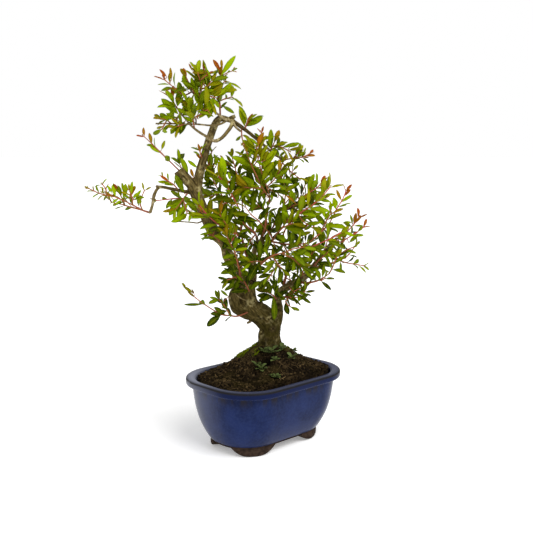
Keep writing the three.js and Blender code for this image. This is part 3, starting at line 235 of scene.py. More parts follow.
# one mesh object from several skins, in metres in the part's frame
def meshOf(name, parts, materials, front=True):
    starts = np.cumsum([0] + [len(part["vertices"]) for part in parts])
    points = np.vstack([part["vertices"] for part in parts])
    points = (fromFront(points) if front else points) + potCentre
    quads = np.vstack([part["quads"] + start for part, start in zip(parts, starts)])
    tris = np.vstack([part["tris"] + start for part, start in zip(parts, starts)])
    corners = np.concatenate([quads.ravel(), tris.ravel()]).astype(np.int32)
    sizes = np.concatenate([np.full(len(quads), 4), np.full(len(tris), 3)])
    kinds = [np.full(len(part[shape]), part["material"]) for shape in ("quads", "tris") for part in parts]

    mesh = bpy.data.meshes.new(name)
    mesh.vertices.add(len(points))
    mesh.vertices.foreach_set("co", (points * mm).astype(np.float32).ravel())
    mesh.loops.add(len(corners))
    mesh.loops.foreach_set("vertex_index", corners)
    mesh.polygons.add(len(sizes))
    mesh.polygons.foreach_set("loop_start", (np.cumsum(sizes) - sizes).astype(np.int32))
    mesh.polygons.foreach_set("material_index", np.concatenate(kinds).astype(np.int32))
    mesh.polygons.foreach_set("use_smooth", np.ones(len(sizes), bool))
    uv = np.vstack([part["uv"] for part in parts])
    mesh.uv_layers.new(name="surface").data.foreach_set("uv", uv[corners].astype(np.float32).ravel())
    for mark in sorted({mark for part in parts for mark in part["values"]}):
        field = [part["values"].get(mark, np.zeros(len(part["vertices"]))) for part in parts]
        writeMark(mesh, mark, np.concatenate(field))
    for material in materials:
        mesh.materials.append(material)
    mesh.update(calc_edges=True)
    made = bpy.data.objects.new(name, mesh)
    bpy.context.scene.collection.objects.link(made)
    return made


# the mesh that an object's modifiers make takes the place of its own
def applyModifiers(made):
    view = bpy.context.evaluated_depsgraph_get()
    mesh = bpy.data.meshes.new_from_object(made.evaluated_get(view))
    made.modifiers.clear()
    made.data = mesh
    return mesh


def ridesAs(piece, slotName, *nodes):
    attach(piece, "root")
    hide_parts(*nodes)
    return piece


# a colour as it is seen, in 255ths, made linear
def seen(red, green, blue):
    share = np.array([red, green, blue]) / 255
    linear = np.where(share <= 0.04045, share / 12.92, ((share + 0.055) / 1.055) ** 2.4)
    return (*linear, 1)


# a socket takes a link, or a plain value of its own
def feed(tree, socket, value):
    if isinstance(value, bpy.types.NodeSocket):
        tree.links.new(value, socket)
    else:
        socket.default_value = value


def addNode(tree, kind, inputs=None, **settings):
    made = tree.nodes.new("ShaderNode" + kind)
    for key, value in settings.items():
        setattr(made, key, value)
    for key, value in (inputs or {}).items():
        feed(tree, made.inputs[key], value)
    return made


def calculate(tree, operation, *values, clamp=False):
    inputs = dict(enumerate(values))
    return addNode(tree, "Math", inputs, operation=operation, use_clamp=clamp).outputs[0]


def times(tree, value, factor, extra=0.0, **settings):
    return calculate(tree, "MULTIPLY_ADD", value, factor, extra, **settings)


def blend(tree, share, low, high, kind="MIX"):
    inputs = {0: share, 6: low, 7: high}  # the mix node's factor and its two colours
    return addNode(tree, "Mix", inputs, data_type="RGBA", blend_type=kind).outputs[2]


# the share that a value has come from low to high, or from start to end where those are given
def ramp(tree, value, low, high, start=0.0, end=1.0, kind="LINEAR"):
    inputs = {"Value": value, "From Min": low, "From Max": high, "To Min": start, "To Max": end}
    return addNode(tree, "MapRange", inputs, interpolation_type=kind).outputs["Result"]


# multiplies the two or takes their dot product
def vectorMath(tree, operation, first, second):
    return addNode(tree, "VectorMath", {0: first, 1: second}, operation=operation)


# a node group with a vector, some numbers and one output
def newGroup(name, numbers, output, kind):
    group = bpy.data.node_groups.new(name, "ShaderNodeTree")
    group.interface.new_socket(name="Vector", in_out="INPUT", socket_type="NodeSocketVector")
    for label, value in numbers.items():
        socket = group.interface.new_socket(name=label, in_out="INPUT", socket_type="NodeSocketFloat")
        socket.default_value = value
    group.interface.new_socket(name=output, in_out="OUTPUT", socket_type=kind)
    return group, group.nodes.new("NodeGroupInput").outputs, group.nodes.new("NodeGroupOutput").inputs


def newMaterial(name, colour):
    material = bpy.data.materials.new(name)
    material.use_nodes = True
    material.diffuse_color = colour
    return material, material.node_tree


def dress(material, colour, roughness, **others):
    shader = material.node_tree.nodes["Principled BSDF"]
    inputs = {"Base Color": colour, "Roughness": roughness, "Specular IOR Level": 0.03, **others}
    for key, value in inputs.items():
        feed(material.node_tree, shader.inputs[key], value)
    return material


def placeOn(tree):
    return addNode(tree, "TexCoord").outputs["Object"]


def markOf(tree, name, output="Fac"):
    return addNode(tree, "Attribute", attribute_name=name).outputs[output]


# Mottle: patches from cloud noise, cut between two levels
mottleGroup, groupIn, groupOut = newGroup(
    "Mottle", dict(Scale=50, Detail=4, Low=0.4, High=0.6), "Mask", "NodeSocketFloat")
cloud = addNode(mottleGroup, "TexNoise", {key: groupIn[key] for key in ("Vector", "Scale", "Detail")})
mottleGroup.links.new(
    ramp(mottleGroup, cloud.outputs["Fac"], groupIn["Low"], groupIn["High"], kind="SMOOTHSTEP"),
    groupOut["Mask"])

# Grain: fine relief from noise at two scales, as a normal
grainRule = dict(detail=5.0, roughness=0.6, finer=4.3, fineShare=0.35)
grainGroup, groupIn, groupOut = newGroup(
    "Grain", dict(Scale=300, Strength=0.3, Depth=0.001), "Normal", "NodeSocketVector")
coarse = addNode(grainGroup, "TexNoise", {
    "Vector": groupIn["Vector"], "Scale": groupIn["Scale"], "Detail": grainRule["detail"],
    "Roughness": grainRule["roughness"]})
fineScale = times(grainGroup, groupIn["Scale"], grainRule["finer"])
fine = addNode(grainGroup, "TexNoise", {"Vector": groupIn["Vector"], "Scale": fineScale})
height = times(grainGroup, fine.outputs["Fac"], grainRule["fineShare"], coarse.outputs["Fac"])
relief = addNode(grainGroup, "Bump", {
    "Strength": groupIn["Strength"], "Distance": groupIn["Depth"], "Height": height})
grainGroup.links.new(relief.outputs["Normal"], groupOut["Normal"])


def useMottle(tree, vector, scale, low, high, detail=4.0):
    inputs = {"Vector": vector, "Scale": scale, "Detail": detail, "Low": low, "High": high}
    return addNode(tree, "Group", inputs, node_tree=mottleGroup).outputs["Mask"]


def useGrain(tree, vector, scale, strength, depth):
    inputs = {"Vector": vector, "Scale": scale, "Strength": strength, "Depth": depth}
    return addNode(tree, "Group", inputs, node_tree=grainGroup).outputs["Normal"]


# Lays colours over a first one, each by a mask and a strength. A mask is a socket, the name of a mark,
# or the numbers of a mottle.
def layers(tree, vector, colour, *rows):
    for mask, strength, over in rows:
        if isinstance(mask, str):
            mask = markOf(tree, mask)
        elif isinstance(mask, tuple):
            mask = useMottle(tree, vector, *mask)
        colour = blend(tree, times(tree, mask, strength), colour, over)
    return colour


print("tools ready")


# The old wood. The trunk's route is (across, away, up, radius). Every other stem starts inside another,
# at a place counted in that one's own knots, with its radius there, and goes on along its route.
trunkRoute = (
    (8, 4, 137, 27), (8, 4, 150, 23), (10, 4, 162, 19), (11, 4, 176, 17), (11, 4, 189, 17), (5, 3, 202, 18),
    (-8, 2, 212, 16.5), (-25, 1, 220, 14), (-38, 1, 230, 12.5), (-41, 2, 243, 12), (-38, 4, 255, 11.5),
    (-38, 6, 268, 11), (-45, 8, 284, 10.6), (-56, 8, 302, 10.3), (-68, 7, 321, 10), (-80, 6, 339, 9.8),
    (-90, 4, 363, 9.6), (-100, 2, 386, 9.5), (-108, 0, 406, 9.6), (-116, -2, 421, 8.4), (-126, -3, 434, 7.8),
    (-135, -4, 444, 7.4))
stems = dict(
    shoulder=("trunk", 4.6, 14, (-11, -5, 217, 12), (-20, -6, 229, 10.5), (-23, -6, 242, 9.8),
      (-23, -5, 255, 9), (-21, -4, 268, 8.2), (-19, -2, 284, 6.6), (-18, 0, 302, 5.4), (-15, 0, 318, 4.6),
      (-6, -2, 329, 3.4)),
    right_stem=("trunk", 4, 13, (19, 4, 206, 10.5), (22, 4, 220, 8), (22, 4, 234, 7), (27, 5, 247, 6.6),
      (41, 6, 257, 6.4), (59, 8, 266, 6), (77, 10, 285, 5), (92, 12, 304, 4), (105, 14, 321, 3.2),
      (118, 15, 334, 2.2)),
    leader=("trunk", 18, 8.6, (-107, 1, 419, 7.6), (-103, 2, 440, 7), (-97, 3, 460, 6.7), (-91, 4, 481, 6.4),
      (-83, 4, 503, 6), (-77, 3, 518, 5.6), (-70, 1, 525, 5), (-59, 0, 524, 4.4), (-48, 0, 520, 3.8),
      (-36, 2, 512, 3.2), (-24, 4, 503, 2.8), (-8, 8, 490, 2.4), (6, 11, 478, 2.1), (19, 14, 467, 1.8),
      (35, 17, 460, 1.3)),
    arch_stub=("leader", 8.2, 3.4, (-50, -1, 527, 3.2), (-45, -2, 529, 2.7)),
    pale_cross=("leader", 8.6, 2.6, (-59, -6, 523, 2.2), (-69, -10, 529, 1.9), (-80, -11, 537, 1.8),
      (-93, -10, 548, 1.6), (-104, -9, 557, 1.4), (-115, -8, 568, 1.1)),
    pale_cut=("leader", 8.8, 2.4, (-45, -7, 512, 2), (-37, -9, 505, 1.6)),
    apex_twig=("pale_cross", 3, 1.8, (-78, -10, 556, 1.5), (-77, -9, 575, 1.3), (-78, -9, 587, 1)),
    elbow=("leader", 8.9, 3.3, (-53, -7, 511, 3), (-65, -12, 496, 2.8), (-77, -14, 490, 2.8),
      (-89, -14, 496, 2.3), (-109, -13, 509, 1.9), (-124, -12, 525, 1.5), (-133, -11, 536, 1.1)),
    shelf=("leader", 8.1, 2.2, (-67, -8, 517, 1.7), (-82, -11, 514, 1.5), (-107, -12, 516, 1.4),
      (-126, -11, 516, 1.3), (-146, -9, 517, 1.3), (-170, -7, 517, 1.3)),
    left_branch=("trunk", 18.1, 4, (-128, -6, 411, 3), (-147, -8, 415, 2.6), (-164, -9, 418, 2.5),
      (-170, -9, 414, 2.4), (-175, -8, 404, 2.6), (-178, -7, 389, 2.3), (-182, -6, 377, 2.6)),
    left_knob=("left_branch", 3, 2.4, (-171, -9, 419, 2)),
    bare_twig=("trunk", 16.2, 1.8, (-105, -6, 361, 1.2), (-117, -9, 362, 1.1), (-144, -12, 364, 0.9)),
    trunk_stub=("trunk", 13.8, 3.4, (-70, -3, 321, 2.8)),
    crook_spur=("trunk", 6.3, 3.4, (-22, -3, 201, 2.8), (-28, -4, 197, 1.4)),
    saddle_stump=("shoulder", 1, 6, (-6, -8, 228, 4.4), (-7, -9, 233, 3.8)),
    pruned_knot=("shoulder", 4.8, 5.4, (-20, -17, 266, 4.8)),
    rise_limb=("shoulder", 8.8, 3, (-3, -9, 341, 2.5)),
    fork_limb=("shoulder", 8.3, 3.4, (6, 3, 342, 2.9), (12, 5, 350, 2.5)),
    reach_limb=("shoulder", 8.9, 3, (7, -9, 330, 2.5)),
    left_limb=("shoulder", 8.6, 2.8, (-12, -8, 338, 2.3)),
    front_twig=("shoulder", 2.4, 1.6, (-36, -18, 240, 1.1), (-52, -20, 253, 0.8)),
    stock=("trunk", 1, 19, (8, 4, 118, 24), (8, 4, 96, 12)))
rootRuns = ((-14, 1, 1), (110, 0.9, 0.8), (205, 1.1, 1.1))  # degrees, share of the reach and of the radii
rootShape = dict(at=1, up=(152, 137, 118), reach=(22, 36, 46), radii=(7.5, 5, 3))


# the surface roots, as stems: each leaves the flare of the trunk in a straight line seen from above
def rootStems():
    across, away = trunkRoute[0][:2]
    for index, (turn, far, thick) in enumerate(rootRuns):
        reach = far * np.array(rootShape["reach"])
        radii = thick * np.array(rootShape["radii"])
        route = np.column_stack([
            across + reach * np.cos(np.radians(turn)), away + reach * np.sin(np.radians(turn)),
            rootShape["up"], radii])
        yield f"root{index}", ("trunk", rootShape["at"], radii[0], *route)


def growWood():
    route = np.array(trunkRoute, float)
    grown = dict(trunk=dict(knots=route[:, :3], radii=route[:, 3]))
    for name, (start, at, root, *route) in (stems | dict(rootStems())).items():
        route = np.array(route, float)
        knots = np.vstack([pointOn(grown[start], at), route[:, :3]])
        grown[name] = dict(knots=knots, radii=np.array([root, *route[:, 3]]))
    return grown


woodLook = dict(
    voxel=1.1, sides=28, step=1.5, smoothing=3,
    thinRadius=2.4,  # thinner stems are made as twigs
    swells=((0.05, 2, 1.3, 0), (0.04, 3, -0.9, 2)), gnarledFrom=4,  # size, lobes, twist, start
    hollow=(0.7, 0.55), hollowDepth=0.9,  # shares of a cut end's radius
    weight=(9, 0.15, 1.25), base=(215, 160),  # relief: full radius, least and most; more of it below
    lumps=1.6, lumpSize=13, grit=0.35, gritGrain=(0.8, 0.8, 0.35),
    ridges=0.6, ridgeGrain=(0.26, 0.26, 0.07), ridgeSharp=2.2, ridgeShare=0.55)
knotLook = dict(swelling=0.22, ring=(0.75, 0.4), hole=0.5, sink=1.5, ringScar=0.5)
cutScar = dict(
    stems=("trunk", "pruned_knot", "trunk_stub", "left_branch", "left_knob", "saddle_stump"),
    rim=(1.0, 0.7), depth=0.6, end=-0.2)
woodKnots = (  # across, away, up, size: above zero a swelling with a dark scar, below zero a pit
    (14, -13, 190, 5), (-2, -13, 207, -4), (-46, -4, 250, 4), (-30, -3, 262, -3), (-47, -2, 281, 4),
    (-61, -3, 309, 3.5), (-72, -3, 327, 4), (-92, -5, 357, 4.5), (-97, -6, 378, -3), (-112, -9, 398, 4),
    (-97, -3, 447, 3), (-91, -2, 474, 3), (-80, -2, 505, 3), (24, -3, 228, 3), (-16, -13, 244, 3),
    (-140, -9, 440, -3), (-122, -10, 419, 3), (-12, -12, 222, -3), (18, -14, 176, -3), (2, -14, 172, 4))
pushes = (  # across, away, up, reach, and the move there: across, away, up
    (-79, 0, 322, 14, 11, 0, 0), (-53, 0, 238, 14, -5, 0, 0), (-45, 0, 217, 14, -8, 0, -4),
    (-32, 0, 203, 10, -1, 0, -4), (31, 4, 170, 16, -2.2, 0, 0), (-8, 0, 176, 10, -4, 0, 0),
    (-137, 0, 434, 10, -4, 0, 0))
twigLook = dict(
    sides=10, step=2, overlap=1.3, bud=0.16, budEvery=2.3, budPower=6, lumps=0.1, lumpSize=3, slim=0.97,
    tip=0.6)


# a tube whose radius swells by low waves that turn slowly on the way, and whose far end is cut off and
# hollowed: the last ring is drawn in twice, then sunk
def woodTube(stem, last, isCut):
    look = woodLook
    count = max(int(lengthOf(stem["knots"]) * last / look["step"]), 4)
    places = np.linspace(0, last, count)
    angle = np.arange(look["sides"]) / look["sides"] * circle
    run = (places * (len(stem["knots"]) - 1))[:, None]
    waves = sum(size * np.sin(lobes * angle + twist * run + start)
                for size, lobes, twist, start in look["swells"])
    swell = 1 + (stem["radii"][0] > look["gnarledFrom"]) * waves
    rings, centre, ahead = tubeRings(stem["knots"], stem["radii"], places, look["sides"], swell)
    end = centre[-1]
    sink = look["hollowDepth"] * stem["radii"][-1] * isCut * ahead[-1]
    sunk = [end + share * (rings[-1] - end) - depth * sink for share, depth in zip(look["hollow"], (0, 1))]
    return skins(np.concatenate([rings, sunk])[None], np.stack([centre[0], end - sink])[None])


# pulls each point half way to the mean of its neighbours, as often as asked
def smoothed(points, edges, times):
    ends = np.concatenate([edges, edges[:, ::-1]])
    share = np.bincount(ends[:, 0], minlength=len(points))[:, None]
    for _ in range(times):
        total = np.stack([np.bincount(ends[:, 0], points[ends[:, 1], axis], len(points))
                          for axis in range(3)], -1)
        points = 0.5 * points + 0.5 * total / share
    return points


# for each point the sample of old wood whose bark lies nearest: the distance to its centre less its
# radius is least
def nearestWood(points, centres, radii, batch=4000):
    found = np.zeros(len(points), int)
    for start in range(0, len(points), batch):
        gap = np.linalg.norm(points[start:start + batch, None] - centres[None], axis=2) - radii
        found[start:start + batch] = gap.argmin(1)
    return found


# all thick tubes merged into one skin, and a sample of the stems each millimetre: centre, two sides,
# radius and the run along the stem
def mergeThickWood(materials):
    parts = []
    samples = []
    for number, stem in enumerate(wood.values()):
        thick = stem["radii"] >= woodLook["thinRadius"]
        if not thick[:2].all():
            continue
        last = (len(thick) if thick.all() else thick.argmin()) - 1
        share = last / (len(thick) - 1)
        parts.append(woodTube(stem, share, thick.all()))
        length = lengthOf(stem["knots"])
        places = np.linspace(0, share, int(length * share) + 2)
        centre, _, side, lift = framesAlong(stem["knots"], places)
        run = places * length + 90 * number  # the next stem reads another part of the noise
        samples.append(np.column_stack([centre, side, lift, radiusAt(stem["radii"], places), run]))
    made = meshOf("treeWood", parts, materials)
    merge = made.modifiers.new("merge", "REMESH")
    merge.mode = "VOXEL"
    merge.voxel_size = woodLook["voxel"] * mm
    merge.use_smooth_shade = True
    return made, applyModifiers(made), np.vstack(samples)


# how far each knot lifts the bark and how dark it scars it: bell curves round its rim and its middle
def knotRelief(front):
    look = knotLook
    move = np.zeros(len(front))
    scar = np.zeros(len(front))
    for across, away, up, size in woodKnots:
        gap = np.linalg.norm(front - (across, away, up), axis=1) / abs(size)
        ring = bell(gap - look["ring"][0], look["ring"][1]) * (size > 0)
        hole = bell(gap, look["hole"])
        move += look["swelling"] * abs(size) * (ring - look["sink"] * hole)
        scar = np.maximum(scar, np.maximum(hole, look["ringScar"] * ring))
    return move, scar


# how dark the sawn ends are: full inside the rim, from a little below the end
def cutScars(front):
    scar = np.zeros(len(front))
    for name in cutScar["stems"]:
        radius = wood[name]["radii"][-1]
        end, way = (found[0] for found in curveAt(wood[name]["knots"], [1.0]))
        along = (front - end) @ way
        away = np.linalg.norm(front - end - along[:, None] * way, axis=1) / radius
        near = ease(along, -cutScar["depth"] * radius, cutScar["end"])
        scar = np.maximum(scar, ease(away, *cutScar["rim"]) * near)
    return scar


# The thick wood: one smooth skin. Each point moves along its normal by lumps, by ridges that run with
# the stem, and by the knots, and some stretches are pushed aside.
def makeThickWood(materials):
    look = woodLook
    made, mesh, samples = mergeThickWood(materials)
    edges = np.zeros(len(mesh.edges) * 2, np.int32)
    mesh.edges.foreach_get("vertices", edges)
    points = smoothed(readPoints(mesh), edges.reshape(-1, 2), look["smoothing"])
    writePoints(mesh, points)
    normals = np.zeros(points.size, np.float32)
    mesh.vertex_normals.foreach_get("vector", normals)

    front = toFront(points)
    chosen = samples[nearestWood(front, samples[:, :3], samples[:, 9])]
    centre, side, lift, radius, run = np.split(chosen, (3, 6, 9, 10), 1)
    offset = front - centre
    barkSpace = np.column_stack([(offset * side).sum(1), (offset * lift).sum(1), run])
    full, least, most = look["weight"]
    weight = np.clip(radius[:, 0] / full, least, most)
    base = ease(front[:, 2], *look["base"])
    ridges = 1 - look["ridgeSharp"] * np.abs(noise(barkSpace * look["ridgeGrain"], 2) - 0.5)
    lumps = noise(front / look["lumpSize"], 1) - 0.5
    grit = noise(barkSpace * look["gritGrain"], 3) - 0.5
    knotMove, knotScar = knotRelief(front)
    move = weight * look["lumps"] * lumps * (1 + base)
    move += weight * look["ridges"] * ridges * (look["ridgeShare"] + base)
    move += look["grit"] * grit + knotMove
    points += normals.reshape(-1, 3) * move[:, None]
    for across, away, up, reach, *way in pushes:
        near = bell(np.linalg.norm(front - (across, away, up), axis=1), reach)
        points += near[:, None] * fromFront(way)
    writePoints(mesh, points)
    writeMark(mesh, "barkSpace", barkSpace * mm, "FLOAT_VECTOR")
    writeMark(mesh, "scar", np.maximum(knotScar, cutScars(front)))
    writeMark(mesh, "groove", ridges)
    print("thick wood", len(points), "points")
    return made


# The thin wood: tubes that swell at their buds, a power of a sine, and taper to a blunt end
def makeThinWood(materials):
    look = twigLook
    parts = []
    for number, stem in enumerate(wood.values()):
        thick = stem["radii"] >= woodLook["thinRadius"]
        if thick.all():
            continue
        first = max((thick.argmin() if thick[0] else 0) - look["overlap"], 0) / (len(thick) - 1)
        length = lengthOf(stem["knots"]) * (1 - first)
        places = np.linspace(first, 1, max(int(length / look["step"]), 5))
        run = places * length
        bud = np.clip(np.sin(run / look["budEvery"] + number), 0, 1) ** look["budPower"]
        lumps = lineNoise(run / look["lumpSize"], number, 4) - 0.5
        swell = look["slim"] * (1 + look["bud"] * bud + look["lumps"] * lumps)
        rings, centre, ahead = tubeRings(
            stem["knots"], stem["radii"], places, look["sides"], swell[:, None])
        tip = centre[-1] + ahead[-1] * stem["radii"][-1] * swell[-1] * look["tip"]
        parts.append(skins(rings[None], np.stack([centre[0], tip])[None], groove=1))
    return meshOf("thinTwigs", parts, materials)


# In the looks a mottle is its scale, low, high and detail, a layer ends in its strength and colour, and
# a grain is its scale, strength and depth. Heights are in metres.
barkLook = dict(
    along=(1, 1, 0.3), fibres=(520, 0.3, 0.7, 6), patches=(55, 0.47, 0.6, 5), flakes=(190, 0.42, 0.6, 6),
    green=(90, 0.22, 0.55, 5), moss=(0.88, seen(50, 45, 12)),
    darkBaseHeight=(0.15, 0.19), damp=(0.8, seen(36, 30, 12)),
    grooves=(0.0, 0.6), grooveShare=0.9, grooveShade=seen(120, 110, 92), scar=("scar", 1, seen(38, 30, 22)),
    grain=(900, 0.55, 0.0012), roughness=0.82)


# bark: fibres from the cracks to the middle colour, pale flakes in patches, green low down, and darker
# patches towards the bottom
def makeBark(name, low, dry, middle, high, mossLine):
    look = barkLook
    material, tree = newMaterial(name, middle)
    place = placeOn(tree)
    along = vectorMath(tree, "MULTIPLY", markOf(tree, "barkSpace", "Vector"), look["along"]).outputs[0]
    height = addNode(tree, "SeparateXYZ", {0: place}).outputs["Z"]
    wet = ramp(tree, height, *mossLine, 1.0, 0.0)
    flakes = useMottle(tree, place, *look["flakes"])
    moss = times(tree, wet, useMottle(tree, place, *look["green"]))
    damp = times(tree, ramp(tree, height, *look["darkBaseHeight"], 1.0, 0.0), flakes)
    colour = layers(tree, along, dry, (wet, 1, low), (look["fibres"], 1, middle))
    colour = layers(tree, place, colour, (look["patches"], flakes, high), (moss, *look["moss"]),
                    (damp, *look["damp"]))
    groove = ramp(tree, markOf(tree, "groove"), *look["grooves"])
    shade = blend(tree, groove, look["grooveShade"], seen(255, 255, 255))
    colour = blend(tree, look["grooveShare"], colour, shade, "MULTIPLY")
    colour = layers(tree, place, colour, look["scar"])
    return dress(material, colour, look["roughness"], Normal=useGrain(tree, along, *look["grain"]))


wood = growWood()
barkMaterial = makeBark(
    "Bark", seen(44, 36, 15), seen(74, 63, 36), seen(124, 107, 64), seen(180, 166, 116), (0.19, 0.27))
twigMaterial = makeBark(
    "Twig bark", seen(84, 72, 42), seen(84, 72, 42), seen(136, 118, 80), seen(172, 156, 118), (0.1, 0.2))
ridesAs(makeThickWood([barkMaterial]), "bark", "trunk")
ridesAs(makeThinWood([twigMaterial]), "bark", "trunk")
print("wood made")


